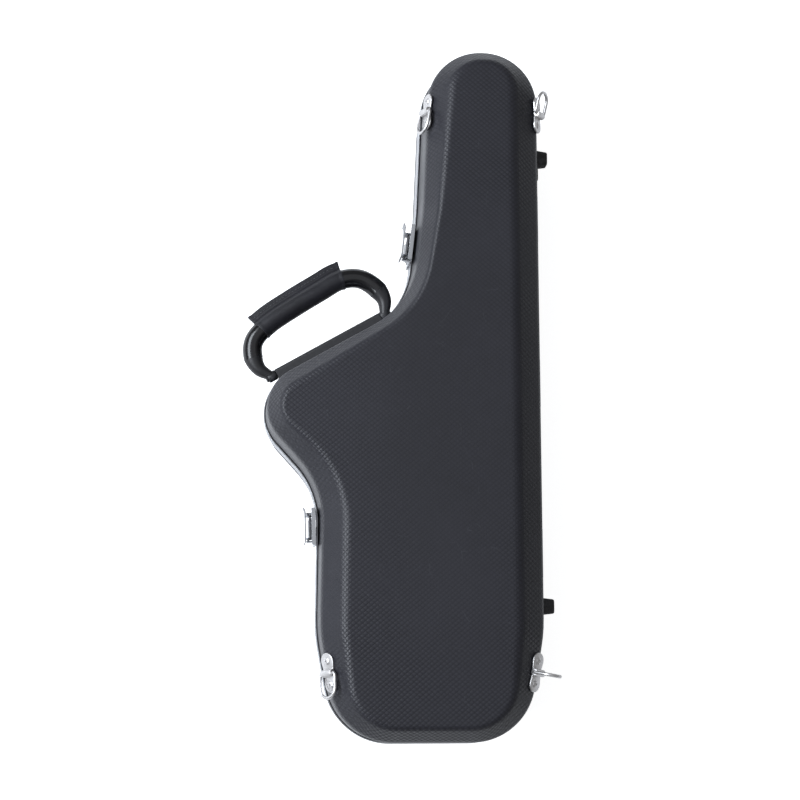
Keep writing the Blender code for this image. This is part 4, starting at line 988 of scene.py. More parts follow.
def turn_profile(profile: list[tuple[float, float]], sides: int, at: Matrix) -> Mesh:
    """Spin a profile of heights and radii round Z and set it at a frame.

    Args:
        profile: pairs of a height along Z and a radius
        sides: how many sides the turned shape has
        at: the frame to set it at

    Returns:
        The closed mesh.
    """
    mesh = bmesh.new()
    verts = [mesh.verts.new((radius, 0, height)) for height, radius in profile]
    edges = [mesh.edges.new(pair) for pair in zip(verts, verts[1:])]
    bmesh.ops.spin(mesh, geom=[*verts, *edges], cent=(0, 0, 0), axis=(0, 0, 1), dvec=(0, 0, 0),
                   angle=2 * math.pi, steps=sides, use_merge=True, use_normal_flip=False,
                   use_duplicate=False)
    bmesh.ops.remove_doubles(mesh, verts=mesh.verts, dist=SAME_POLE)
    bmesh.ops.holes_fill(mesh, edges=[edge for edge in mesh.edges if edge.is_boundary], sides=0)
    bmesh.ops.recalc_face_normals(mesh, faces=mesh.faces)
    bmesh.ops.transform(mesh, matrix=at, verts=mesh.verts)
    return mesh


def round_edges(mesh: Mesh, edges: Edges, width: float, segments: int) -> None:
    """Bevel edges round, no further than their faces have room for."""
    bmesh.ops.bevel(mesh, geom=edges, offset=width, offset_type="OFFSET", segments=segments,
                    profile=0.5, affect="EDGES", clamp_overlap=True, material=-1)


def plate(points: list[Vector], low: float, high: float, edge: float, at: Matrix) -> Mesh:
    """A flat plate with softened edges, hulled round points and set at a frame.

    Args:
        points: places in the plate's plane, which its convex outline goes round
        low: the plate's underside along Z
        high: the plate's top along Z
        edge: how far the edges are rounded
        at: the frame to set it at

    Returns:
        The closed mesh.
    """
    mesh = bmesh.new()
    for height in (low, high):
        for point in points:
            mesh.verts.new((point.x, point.y, height))
    hull = bmesh.ops.convex_hull(mesh, input=mesh.verts)
    spare = [item for item in hull["geom_interior"] + hull["geom_unused"]
             if isinstance(item, bmesh.types.BMVert)]
    bmesh.ops.delete(mesh, geom=list(dict.fromkeys(spare)), context="VERTS")
    bmesh.ops.dissolve_limit(mesh, angle_limit=math.radians(FLAT_DEG), verts=mesh.verts,
                             edges=mesh.edges)
    rims = [item for item in mesh.edges if item.calc_face_angle(0) > math.radians(RIM_DEG)]
    round_edges(mesh, rims, edge, segments=3)
    bmesh.ops.recalc_face_normals(mesh, faces=mesh.faces)
    bmesh.ops.transform(mesh, matrix=at, verts=mesh.verts)
    return mesh


def join_meshes(parts: list[Mesh]) -> Mesh:
    """Put several meshes in one, as one piece of hardware.

    Args:
        parts: the meshes, which are used up

    Returns:
        The whole, which is the first of them.
    """
    whole = parts[0]
    for part in parts[1:]:
        held = bpy.data.meshes.new("part")
        part.to_mesh(held)
        part.free()
        whole.from_mesh(held)
        bpy.data.meshes.remove(held)
    return whole


def finish_piece(name: str, mesh: Mesh, finish: Finish, body: str, *replaced: str,
                 smooth_deg: float = 32.0) -> Piece:
    """Turn a mesh into a finished piece that rides on its body.

    Args:
        name: the piece's name
        mesh: its mesh, in place
        finish: its finish
        body: the body that carries it
        replaced: the CAD nodes that it stands for
        smooth_deg: edges sharper than this stay crisp

    Returns:
        The piece.
    """
    data = bpy.data.meshes.new(name)
    mesh.to_mesh(data)
    mesh.free()
    data.materials.append(finish.material())
    data.shade_smooth()
    data.set_sharp_from_angle(angle=math.radians(smooth_deg))
    piece = bpy.data.objects.new(name, data)
    bpy.context.scene.collection.objects.link(piece)
    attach(piece, body)
    if replaced:
        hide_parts(*replaced)
    LOG.info("%s: %d faces on %s", name, len(data.polygons), body)
    return piece


def soften(piece: Piece, width: float, segments: int = 2, sharp_deg: float = 35.0) -> None:
    """Round a piece's sharp edges with a Bevel modifier.

    Args:
        piece: the piece
        width: how far the rounding reaches from each edge
        segments: the faces across it
        sharp_deg: edges that turn by more than this are rounded
    """
    modifier = piece.modifiers.new("soft_edges", "BEVEL")
    modifier.width = width
    modifier.segments = segments
    modifier.limit_method = "ANGLE"
    modifier.angle_limit = math.radians(sharp_deg)


def dress_node(node: str, finish: Finish) -> None:
    """Give a CAD node that stays its finish.

    Args:
        node: the CAD node
        finish: its finish
    """
    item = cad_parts[node]
    for slot in item.material_slots:
        slot.material = finish.material()
    LOG.info("%s: dressed as %s", node, finish.name)


def round_node(node: str, finish: Finish, body: str, width: float) -> None:
    """Stand a copy of a CAD node, with its edges rounded, in the node's place.

    Args:
        node: the CAD node
        finish: the copy's finish
        body: the body that carries it
        width: how far the rounding reaches from each edge
    """
    mesh = bmesh.new()
    mesh.from_mesh(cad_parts[node].data)
    bmesh.ops.remove_doubles(mesh, verts=mesh.verts, dist=SAME_PLACE)
    bmesh.ops.dissolve_limit(mesh, angle_limit=math.radians(FLAT_DEG), verts=mesh.verts,
                             edges=mesh.edges)
    piece = finish_piece(f"{node}_plated", mesh, finish, body, node)
    soften(piece, width)


# The case's form


@dataclass(frozen=True)
class Section:
    """The cross-section of one half, as heights from the parting and insets from the outline.

    Attributes:
        depth: the flat face's height
        wall_height: where the wall bends into the sloping band
        foot: where the wall starts, inside the valance
        foot_inset: the wall's inset there
        wall_draft: how much further in the wall is at its bend
        crest_inset: the inset of the crest, where band and face would meet unrounded
        bend_radius: the rounding of the wall's bend
        crest_radius: the rounding of the crest
        step_deg: the step of both roundings
    """

    depth: float
    wall_height: float
    foot: float
    foot_inset: float = 0.0015
    wall_draft: float = 0.002
    crest_inset: float = 0.028
    bend_radius: float = 0.010
    crest_radius: float = 0.018
    step_deg: float = 4.0

    def points(self) -> list[Vector]:
        """Draw the section from the foot of the wall to the flat face.

        Returns:
            Its points, as heights and insets.
        """
        corners = [(self.foot, self.foot_inset),
                   (self.wall_height, self.foot_inset + self.wall_draft),
                   (self.depth, self.crest_inset),
                   (self.depth, self.crest_inset + self.crest_radius)]
        arcs = round_corners(corners, [0, self.bend_radius, self.crest_radius, 0], closed=False)
        return [point for arc in arcs for point in arc.points(self.step_deg)]

    def inset_at(self, height: float) -> float:
        """Find the section's inset.

        Args:
            height: the height above the parting

        Returns:
            The inset there.
        """
        points = self.points()
        low, high = next(pair for pair in zip(points, points[1:]) if pair[1].x >= height)
        return low.y + (height - low.x) / (high.x - low.x) * (high.y - low.y)


LID_SECTION = Section(depth=0.077, wall_height=0.056, foot=0.0048)
BASE_SECTION = Section(depth=0.088, wall_height=0.066, foot=0.00345)


@dataclass(frozen=True)
class CaseForm:
    """The case's outline at the parting, anticlockwise from the bottom right.

    Attributes:
        corners: x, y and radius of each corner
        crests: how far in the crest stands before and after each corner
        wall: the inset where the walls end
        parting: the height of the parting
        step_deg: the step of the corners in a mesh
        measure_deg: their step where places are measured
        apart: how far apart the rings stand while they are bridged
    """

    corners: tuple[tuple[float, float, float], ...] = (
        (0.0874, -0.330, 0.0725), (0.1058, -0.229, 0.150), (0.1058, 0.330, 0.0555),
        (-0.0040, 0.330, 0.0555), (-0.0113, 0.170, 0.200), (-0.0214, 0.0789, 0.081),
        (-0.1811, -0.0128, 0.043), (-0.1046, -0.0967, 0.080), (-0.1058, -0.229, 0.150),
        (-0.0874, -0.330, 0.0725))
    crests: Insets = (
        (0.0167, 0.021), (0.028, 0.028), (0.029, 0.020), (0.020, 0.0245), (0.0175, 0.0175),
        (0.012, 0.013), (0.0205, 0.014), (0.025, 0.024), (0.024, 0.024), (0.0195, 0.0167))
    wall: float = 0.0035
    parting: float = 0.088
    step_deg: float = 3.5
    measure_deg: float = 2.0
    apart: float = 0.05

    def arcs(self, inset: float | Insets = 0.0) -> list[Arc]:
        """The outline's corners, moved in by one inset or by each corner's."""
        return round_corners([corner[:2] for corner in self.corners],
                             [corner[2] for corner in self.corners], inset)

    def insets(self, inset: float) -> float | Insets:
        """Fit a place on the common section to each corner.

        Args:
            inset: the place's inset on the common section

        Returns:
            The same inset on the wall, and further in each corner's own.
        """
        if inset <= self.wall:
            return inset
        share = (inset - self.wall) / (Section.crest_inset - self.wall)
        return tuple(tuple(self.wall + share * (crest - self.wall) for crest in pair)
                     for pair in self.crests)

    def loft(self, mesh: Mesh, levels: list[tuple[float | Insets, float]],
             wrap: bool = False) -> list[Edges]:
        """Bridge rings of the outline.

        The rings are drawn well apart, so that each bridge finds its partner, and then set at
        their heights.

        Args:
            mesh: the mesh to draw in
            levels: the inset of each ring and its height from the parting
            wrap: whether the last ring joins the first

        Returns:
            The rings' edges.
        """
        rings = [draw_ring(mesh, self.arcs(inset), i * self.apart, self.step_deg)
                 for i, (inset, _) in enumerate(levels)]
        pairs = list(zip(rings, rings[1:])) + ([(rings[-1], rings[0])] if wrap else [])
        for low, high in pairs:
            bmesh.ops.bridge_loops(mesh, edges=[*low, *high])
        for i, (ring, (_, height)) in enumerate(zip(rings, levels)):
            verts = list(dict.fromkeys(vert for edge in ring for vert in edge.verts))
            shift = self.parting + height - i * self.apart
            bmesh.ops.translate(mesh, vec=(0, 0, shift), verts=verts)
        return rings

    def points(self, inset: float | Insets = 0.0) -> list[Vector]:
        """The outline as points, for measuring along it."""
        return [point for arc in self.arcs(inset) for point in arc.points(self.measure_deg)]


FORM = CaseForm()


class Rim:
    """The outline followed by its length, which finds places on the case's sides."""

    def __init__(self, form: CaseForm) -> None:
        """Measure the outline.

        Args:
            form: the case's form
        """
        self.points = form.points()
        self.parting = form.parting
        self.lengths = [0.0]
        for i, point in enumerate(self.points):
            ahead = self.points[(i + 1) % len(self.points)]
            self.lengths.append(self.lengths[-1] + (ahead - point).length)

    def at(self, length: float) -> tuple[Vector, Vector]:
        """Find a place.

        Args:
            length: its length along the outline

        Returns:
            The point there and the unit way ahead.
        """
        length = length % self.lengths[-1]
        i = next(k for k, end in enumerate(self.lengths[1:]) if end >= length)
        point, ahead = self.points[i], self.points[(i + 1) % len(self.points)]
        way = (ahead - point).normalized()
        return point + (length - self.lengths[i]) * way, way

    def crossing(self, y: float, flank: Flank) -> float:
        """Find where the outline crosses a level.

        Args:
            y: the level
            flank: the side of the case to look on

        Returns:
            The crossing's length along the outline.
        """
        best = None
        for i, point in enumerate(self.points):
            ahead = self.points[(i + 1) % len(self.points)]
            if (point.y - y) * (ahead.y - y) <= 0 and point.y != ahead.y:
                share = (y - point.y) / (ahead.y - point.y)
                x = point.x + share * (ahead.x - point.x)
                if best is None or flank.value * x > flank.value * best[0]:
                    best = (x, self.lengths[i] + share * (ahead - point).length)
        return best[1]

    def surface(self, length: float, height: float, section: Section) -> Matrix:
        """The frame on a half's surface: X along the outline, Y up the wall and Z out of it.

        Args:
            length: the place along the outline
            height: the height above the parting
            section: the half's section

        Returns:
            The frame, whose lean is measured over a small rise.
        """
        rise = 0.001
        point, way = self.at(length)
        inwards = Vector((-way.y, way.x))
        insets = []
        for level in (height, height + rise):
            common = section.inset_at(level)
            ring = FORM.points(FORM.insets(common))
            places = []
            for start, end in zip(ring, ring[1:] + ring[:1]):
                low, high = (start - point).dot(way), (end - point).dot(way)
                if low <= 0 < high:
                    places.append((start.lerp(end, low / (low - high)) - point).dot(inwards))
            insets.append(min(places, key=abs))
        lift = math.atan2(insets[1] - insets[0], rise)
        along = Vector((way.x, way.y, 0))
        out = Vector((way.y, -way.x, 0))
        normal = math.cos(lift) * out + math.sin(lift) * Vector((0, 0, 1))
        origin = Vector((point.x, point.y, self.parting + height)) - insets[0] * out
        return frame_of(origin, along, normal.cross(along), normal)


RIM = Rim(FORM)


@dataclass
class MouldedShell:
    """One moulded half with a drafted wall, a sloping band and a rounded crest round a flat face.

    Attributes:
        node: the CAD node that it stands for
        body: the body that carries it
        side: which way it stands from the parting
        section: its section
        thickness: its wall, which is added inwards
        face_margin: how far inside the crest's rounding the flat face starts
    """

    node: str
    body: Body
    side: Side
    section: Section
    thickness: float = 0.003
    face_margin: float = 0.003

    def build(self) -> None:
        """Bridge rings up the section, fill the face and give the wall its thickness."""
        mesh = bmesh.new()
        points = self.section.points()
        points[-1] = Vector((self.section.depth, points[-2].y + self.face_margin))
        levels = [(FORM.insets(point.y), self.side.value * point.x) for point in points]
        rings = FORM.loft(mesh, levels)
        bmesh.ops.edgeloop_fill(mesh, edges=rings[-1])
        bmesh.ops.remove_doubles(mesh, verts=mesh.verts, dist=SAME_PLACE)
        bmesh.ops.recalc_face_normals(mesh, faces=mesh.faces)
        piece = finish_piece(f"{self.node}_moulding", mesh, SHELL_PLASTIC, self.body.value, self.node)
        wall = piece.modifiers.new("wall", "SOLIDIFY")
        wall.thickness = self.thickness
        wall.offset = -1
        wall.use_even_offset = True
        wall.use_quality_normals = True


@dataclass
class Valance:
    """An extruded aluminium valance that holds a shell's edge, with a groove along its face.

    Attributes:
        node: the CAD node that it stands for
        body: the body that carries it
        side: which way it stands from the parting
        section: insets and heights from the parting, round its section
        edge: how far its edges are rounded
        smooth_deg: corners of the section sharper than this stay crisp
    """

    node: str
    body: Body
    side: Side
    section: Pairs
    edge: float = 0.00018
    smooth_deg: float = 24.0

    def build(self) -> None:
        """Bridge the extrusion's section round the case."""
        mesh = bmesh.new()
        levels = [(inset, self.side.value * height) for inset, height in self.section]
        FORM.loft(mesh, levels, wrap=True)
        bmesh.ops.remove_doubles(mesh, verts=mesh.verts, dist=SAME_PLACE)
        bmesh.ops.recalc_face_normals(mesh, faces=mesh.faces)
        piece = finish_piece(f"{self.node}_extrusion", mesh, VALANCE_ALUMINIUM, self.body.value,
                             self.node, smooth_deg=self.smooth_deg)
        soften(piece, self.edge)


OUTER_FACE = ((0.0, 0.00015), (0.0, 0.0040), (0.00025, 0.00415), (0.0005, 0.0045), (0.00025, 0.00485),
              (0.0, 0.0050), (0.0, 0.0120), (0.0012, 0.0120))
LID_VALANCE_SECTION = OUTER_FACE + (
    (0.0012, 0.0045), (0.0051, 0.0045), (0.0051, 0.0080), (0.0063, 0.0080), (0.0063, 0.0033),
    (0.0048, 0.0033), (0.0048, 0.00015))
BASE_VALANCE_SECTION = OUTER_FACE + (
    (0.0012, 0.00315), (0.0051, 0.00315), (0.0051, 0.0080), (0.0063, 0.0080), (0.0063, -0.0030),
    (0.0051, -0.0030), (0.0051, 0.00015), (0.00395, 0.00015), (0.00395, 0.00165), (0.00115, 0.00165),
    (0.00115, 0.00015))


@dataclass
class FoamLining:
    """A foam lining covered in plush, with the instrument's hollow pressed into it.

    Attributes:
        node: the CAD node that it stands for
        body: the body that carries it
        opening: which way its hollow opens
        voxel: the size of the cover's faces before it is subdivided
        pressure: the pressure that swells the cover
        swell_cap: the furthest that any place swells
        rim: how far down from the lip the cover is held
        glued_below: the cover is held where it faces the opening by less than this
        frames: how many frames it swells for
        rounding: the factor and the repeats that round its edges
    """

    node: str
    body: Body
    opening: Side
    voxel: float = 0.006
    pressure: float = 4.0
    swell_cap: float = 0.004
    rim: float = 0.010
    glued_below: float = 0.25
    frames: int = 20
    rounding: tuple[float, int] = (0.5, 4)

    def settle(self, piece: Piece) -> list[Vector]:
        """Apply a piece's modifiers.

        Args:
            piece: the piece

        Returns:
            Where its points were before.
        """
        before = [vert.co.copy() for vert in piece.data.vertices]
        graph = bpy.context.evaluated_depsgraph_get()
        settled = bpy.data.meshes.new_from_object(piece.evaluated_get(graph))
        piece.modifiers.clear()
        piece.data = settled
        return before

    def swell(self, piece: Piece) -> None:
        """Let the plush swell over its foam, held at the shell and along the rim.

        Args:
            piece: the lining
        """
        self.settle(piece)
        held = piece.vertex_groups.new(name="glued")
        up = self.opening.value
        lip = max(up * vert.co.z for vert in piece.data.vertices)
        glued = [vert.index for vert in piece.data.vertices
                 if up * vert.normal.z < self.glued_below or up * vert.co.z > lip - self.rim]
        held.add(glued, 1.0, "REPLACE")
        cloth = piece.modifiers.new("swell", "CLOTH")
        cloth.settings.vertex_group_mass = held.name
        cloth.settings.use_pressure = True
        cloth.settings.uniform_pressure_force = self.pressure
        cloth.settings.effector_weights.gravity = 0.0
        for step in range(1, self.frames + 1):
            bpy.context.scene.frame_set(step)
        before = self.settle(piece)
        for vert, start in zip(piece.data.vertices, before):
            move = vert.co - start
            if move.length > self.swell_cap:
                vert.co = start + self.swell_cap * move.normalized()
        bpy.context.scene.frame_set(1)

    def build(self) -> None:
        """Copy the CAD foam, round its edges and let its cover swell as cloth does.
        """
        mesh = bmesh.new()
        mesh.from_mesh(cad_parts[self.node].data)
        bmesh.ops.remove_doubles(mesh, verts=mesh.verts, dist=SAME_FOAM)
        piece = finish_piece(f"{self.node}_cover", mesh, LINING_PLUSH, self.body.value, self.node,
                             smooth_deg=180)
        remesh = piece.modifiers.new("cloth_mesh", "REMESH")
        remesh.mode = "VOXEL"
        remesh.voxel_size = self.voxel
        remesh.use_smooth_shade = True
        smooth = piece.modifiers.new("rounded", "SMOOTH")
        smooth.factor, smooth.iterations = self.rounding
        self.swell(piece)
        soft = piece.modifiers.new("cover", "SUBSURF")
        soft.levels = soft.render_levels = 1


# Hardware


@dataclass
class StrapRing:
    """A riveted bracket with two round lobes and a rolled knuckle, and the D-ring that hangs in it.

    Attributes:
        name: which corner it stands on
        y: its level along the case
        flank: the long side that it stands on
        height: how high it stands above the parting
        angle_deg: how far the ring stands up from the outline's way
        lobe_radius: the plate's radius round each rivet
        neck_half_width: half the plate's width at the knuckle
        neck_overlap: how far under the knuckle the plate reaches, as a share of its radius
        rivet_reach: how far each rivet stands from the middle
        thickness: the plate's thickness
        seat_gap: how far the plate stands off the shell
        plate_edge: how far the plate's edges are rounded
        rivet_radius: the radius of a rivet's head
        rivet_head: the height of the head
        rivet_foot: how deep the head is sunk in the plate
        rivet_floor: how deep its hollow goes into the plate
        rivet_hollow: the radius of the hollow's floor, as a share of the head's radius
        rivet_shape: the head's profile, as shares of its height and of its radius
        knuckle_radius: the knuckle's radius
        knuckle_half_length: half its length
        knuckle_height: how far its axis stands off the shell
        knuckle_edge: how far its ends are cut
        knuckle_play: the play round the wire
        wire_radius: the ring's wire
        wire_sides: the wire's sides
        ring_half_width: half the ring's width, and the radius of its bow
        ring_straight: the length of its straight sides
        ring_step_deg: the step of its corners
        sides: the sides of what is turned
    """

    name: str
    y: float
    flank: Flank
    height: float
    angle_deg: float
    lobe_radius: float = 0.0074
    neck_half_width: float = 0.006
    neck_overlap: float = 0.6
    rivet_reach: float = 0.0105
    thickness: float = 0.0018
    seat_gap: float = 0.0003
    plate_edge: float = 0.0006
    rivet_radius: float = 0.0034
    rivet_head: float = 0.0011
    rivet_foot: float = 0.0003
    rivet_floor: float = 0.0002
    rivet_hollow: float = 0.22
    rivet_shape: Pairs = ((0.2, 1.0), (0.75, 0.8), (1.0, 0.5), (1.0, 0.28), (0.7, 0.24))
    knuckle_radius: float = 0.0032
    knuckle_half_length: float = 0.007
    knuckle_height: float = 0.0037
    knuckle_edge: float = 0.0005
    knuckle_play: float = 0.0003
    wire_radius: float = 0.0015
    wire_sides: int = 18
    ring_half_width: float = 0.0095
    ring_straight: float = 0.0124
    ring_step_deg: float = 12.0
    sides: int = 28

    def seat(self, shift: float = 0.0) -> Matrix:
        """The frame on the shell under the bracket, or a shift further along the outline."""
        return RIM.surface(RIM.crossing(self.y, self.flank) + shift, self.height, LID_SECTION)

    def lobe(self, way: int) -> Mesh:
        """Make one lobe of the plate, which follows the shell round its rivet.

        Args:
            way: 1 for the lobe ahead along the outline, -1 for the one behind

        Returns:
            The lobe and its rivet.
        """
        seat = self.seat(way * self.rivet_reach)
        turns = [2 * math.pi * i / self.sides for i in range(self.sides)]
        points = [self.lobe_radius * Vector((math.cos(turn), math.sin(turn))) for turn in turns]
        neck = -way * (self.rivet_reach - self.knuckle_radius * self.neck_overlap)
        points += [Vector((neck, self.neck_half_width)), Vector((neck, -self.neck_half_width))]
        top = self.seat_gap + self.thickness
        blank = plate(points, self.seat_gap, top, self.plate_edge, seat)
        head = [(top + up * self.rivet_head, out * self.rivet_radius) for up, out in self.rivet_shape]
        profile = [(top - self.rivet_foot, self.rivet_radius), *head,
                   (top - self.rivet_floor, self.rivet_hollow * self.rivet_radius)]
        return join_meshes([blank, turn_profile(profile, self.sides, seat)])

    def knuckle(self, seat: Matrix) -> Mesh:
        """Make the rolled knuckle that the ring's straight side turns in.

        Args:
            seat: the frame on the shell under the bracket

        Returns:
            The knuckle, in place.
        """
        half = self.knuckle_half_length
        radius = self.knuckle_radius
        hole = self.wire_radius + self.knuckle_play
        soft = self.knuckle_edge
        corner = 0.3 * soft
        profile = [(-half, hole), (-half, radius - soft), (-half + corner, radius - corner),
                   (-half + soft, radius), (half - soft, radius), (half - corner, radius - corner),
                   (half, radius - soft), (half, hole)]
        turn = Matrix.Rotation(math.radians(-90), 4, "X")
        at = seat @ Matrix.Translation((0, 0, self.knuckle_height)) @ turn
        return turn_profile(profile, self.sides, at)

    def ring_path(self) -> list[Matrix]:
        """Follow the ring's wire.

        Returns:
            Frames along the wire, in the ring's own plane.
        """
        corner = 2 * self.wire_radius
        width = self.ring_half_width
        end = self.ring_straight + width
        corners = [(0, -width), (end, -width), (end, width), (0, width)]
        arcs = round_corners(corners, [corner, width, width, corner])
        points = [point for arc in arcs for point in arc.points(self.ring_step_deg)]
        kept = [p for i, p in enumerate(points) if (p - points[i - 1]).length > SAME_PLACE]
        frames = []
        for i, point in enumerate(kept):
            way = (kept[(i + 1) % len(kept)] - kept[i - 1]).normalized()
            side = Vector((-way.y, way.x, 0))
            frames.append(frame_of(Vector((*point, 0)), side, Vector((0, 0, 1)), Vector((*way, 0))))
        return frames

    def build(self) -> None:
        """Make the bracket and its ring."""
        seat = self.seat()
        bracket = join_meshes([self.lobe(-1), self.lobe(1), self.knuckle(seat)])
        finish_piece(f"{self.name}_bracket_plate", bracket, BRACKET_NICKEL, Body.LID.value,
                     f"{self.name}_bracket")
        pose = seat @ Matrix.Translation((0, 0, self.knuckle_height))
        pose = pose @ Matrix.Rotation(-math.radians(self.angle_deg), 4, "Y")
        wire = bmesh.new()
        section = draw_circle(wire, self.wire_radius, self.wire_sides)
        sweep(wire, section, self.ring_path(), closed=True)
        bmesh.ops.transform(wire, matrix=pose, verts=wire.verts)
        finish_piece(f"{self.name}_ring_wire", wire, BRACKET_NICKEL, f"{self.name}_ring",
                     f"{self.name}_ring", smooth_deg=60)


@dataclass
class DrawLatch:
    """A draw latch on the left edge, pressed from sheet with rounded edges and plated."""

    name: str
    edge: float = 0.0003

    def build(self) -> None:
        """Make the housing, the lever, the claw and the catch."""
        carriers = {"housing": Body.LID.value, "lever": f"{self.name}_lever",
                    "claw": f"{self.name}_claw", "catch": Body.BASE.value}
        for part, body in carriers.items():
            finish = LEVER_CHROME if part in ("lever", "claw") else LATCH_CHROME
            round_node(f"{self.name}_{part}", finish, body, self.edge)


@dataclass
class SpineHinge:
    """A riveted hinge on the spine, in plated steel."""

    index: int

    def build(self) -> None:
        """Plate the two leaves and the pin."""
        for part in ("base_leaf", "pin", "lid_leaf"):
            dress_node(f"hinge_{self.index}_{part}", HINGE_STEEL)


@dataclass
class Foot:
    """A rubber foot on the spine that narrows to its tip, with a hole for its screw sunk in it.

    Attributes:
        node: the CAD node that it stands for
        body: the body that carries it
        taper: the tip's size as a share of the root's
        corner: how far the four edges from root to tip are rounded
        edge: how far the tip's edges are rounded
        screw_radius: the radius of the hole
        screw_depth: its depth
    """

    node: str
    body: Body
    taper: float = 0.825
    corner: float = 0.003
    edge: float = 0.0013
    screw_radius: float = 0.0032
    screw_depth: float = 0.0022

    def tip_face(self, mesh: Mesh) -> bmesh.types.BMFace:
        """The face at the foot's tip."""
        return max(mesh.faces, key=lambda face: face.calc_center_median().x)

    def sink_hole(self, mesh: Mesh) -> None:
        """Draw the tip's face in to a circle and push it down.

        Args:
            mesh: the foot
        """
        front = self.tip_face(mesh)
        centre = front.calc_center_median()
        for depth in (0.0, self.screw_depth):
            made = bmesh.ops.extrude_face_region(mesh, geom=[front])["geom"]
            bmesh.ops.delete(mesh, geom=[front], context="FACES_ONLY")
            front = max((item for item in made if isinstance(item, bmesh.types.BMFace)),
                        key=lambda face: len(face.verts))
            for vert in front.verts:
                arm = Vector((0, vert.co.y - centre.y, vert.co.z - centre.z)).normalized()
                vert.co = centre + self.screw_radius * arm - Vector((depth, 0, 0))

    def build(self) -> None:
        """Shape a block to the foot's box, taper it, round its edges and sink the screw hole."""
        low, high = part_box(self.node)
        size = high - low
        mesh = bmesh.new()
        bmesh.ops.create_cube(mesh, size=1)
        bmesh.ops.transform(mesh, matrix=Matrix.Diagonal((*size, 1)), verts=mesh.verts)
        tip = [vert for vert in mesh.verts if vert.co.x > 0]
        bmesh.ops.scale(mesh, vec=(1, self.taper, self.taper), verts=tip)
        upright = [edge for edge in mesh.edges
                   if abs(edge.verts[0].co.x - edge.verts[1].co.x) > size.x / 2]
        round_edges(mesh, upright, self.corner, segments=5)
        round_edges(mesh, list(self.tip_face(mesh).edges), self.edge, segments=4)
        self.sink_hole(mesh)
        bmesh.ops.recalc_face_normals(mesh, faces=mesh.faces)
        bmesh.ops.transform(mesh, matrix=Matrix.Translation((low + high) / 2), verts=mesh.verts)
        finish_piece(f"{self.node}_rubber", mesh, FOOT_RUBBER, self.body.value, self.node)


# Handle


@dataclass(frozen=True)
class HandlePath:
    """The handle's centre line in its own frame: X down the shoulder, Y up and Z out of the case.

    Attributes:
        half_span: half the handle's length along the shoulder
        rise: how far it stands out of the shoulder
        eye_place: how far each pin stands from the middle
        axis_out: how far the pins' axis stands out of the shoulder
        axis_height: the axis's height above the floor
        neck: the outline's corner at the shoulder's neck end
        lobe: its corner at the lobe
        shoulder_share: where the handle's middle is between the two
        shares: places on the centre line, as shares of half_span and of rise
        steps: the points between two places
        steady: how many points behind and ahead the line's way is taken over
    """

    half_span: float = 0.0705
    rise: float = 0.0625
    eye_place: float = 0.06325
    axis_out: float = 0.010593
    axis_height: float = 0.0681
    neck: tuple[float, float] = (-0.0214, 0.0789)
    lobe: tuple[float, float] = (-0.1811, -0.0128)
    shoulder_share: float = 0.42
    shares: Pairs = (
        (1.0, 0.37), (0.986, 0.6), (0.855, 0.81), (0.57, 0.92), (0.14, 0.968),
        (-0.28, 0.992), (-0.595, 1.0), (-0.84, 0.88), (-0.975, 0.64), (-1.0, 0.39))
    steps: int = 12
    steady: tuple[int, int] = (2, 3)

    def frame(self) -> Matrix:
        """Find where the handle's axis stands on the case.

        Returns:
            The handle's own frame.
        """
        neck, lobe = Vector(self.neck), Vector(self.lobe)
        way = (lobe - neck).normalized()
        out = Vector((way.y, -way.x))
        point = neck.lerp(lobe, self.shoulder_share) + self.axis_out * out
        return frame_of(Vector((*point, self.axis_height)), Vector((*way, 0)), Vector((0, 0, 1)),
                        Vector((*out, 0)))

    def line(self) -> list[Vector]:
        """Draw a Catmull-Rom line through the path's places.

        Returns:
            Its points, from the lobe's eye to the neck's.
        """
        axis = Vector((0, self.axis_out))
        knots = [Vector((x * self.half_span, out * self.rise)) - axis for x, out in self.shares]
        knots = [Vector((self.eye_place, 0))] + knots + [Vector((-self.eye_place, 0))]
        knots = [2 * knots[0] - knots[1]] + knots + [2 * knots[-1] - knots[-2]]
        fine = []
        for before, start, end, after in zip(knots, knots[1:], knots[2:], knots[3:]):
            for step in range(self.steps):
                t = step / self.steps
                fine.append(0.5 * (2 * start + (end - before) * t
                                   + (2 * before - 5 * start + 4 * end - after) * t ** 2
                                   + (3 * start - 3 * end + after - before) * t ** 3))
        return fine + [knots[-2]]

    def station(self, share: float) -> tuple[Matrix, float]:
        """Find a place on the line.

        Args:
            share: the share of the line's length where the place is

        Returns:
            The frame there and the whole line's length. The frame's Z points ahead, its X across
            the handle and outwards, and its Y up.
        """
        behind, ahead = self.steady
        line = self.line()
        lengths = [0.0]
        for low, high in zip(line, line[1:]):
            lengths.append(lengths[-1] + (high - low).length)
        target = share * lengths[-1]
        i = max(k for k in range(len(line) - 1) if lengths[k] <= target + 1e-9)
        point = line[i].lerp(line[i + 1], (target - lengths[i]) / (lengths[i + 1] - lengths[i]))
        way = (line[min(i + ahead, len(line) - 1)] - line[max(i - behind, 0)]).normalized()
        local = frame_of(Vector((point.x, 0, point.y)), Vector((way.y, 0, -way.x)),
                         Vector((0, 1, 0)), Vector((way.x, 0, way.y)))
        return self.frame() @ local, lengths[-1]


PATH = HandlePath()


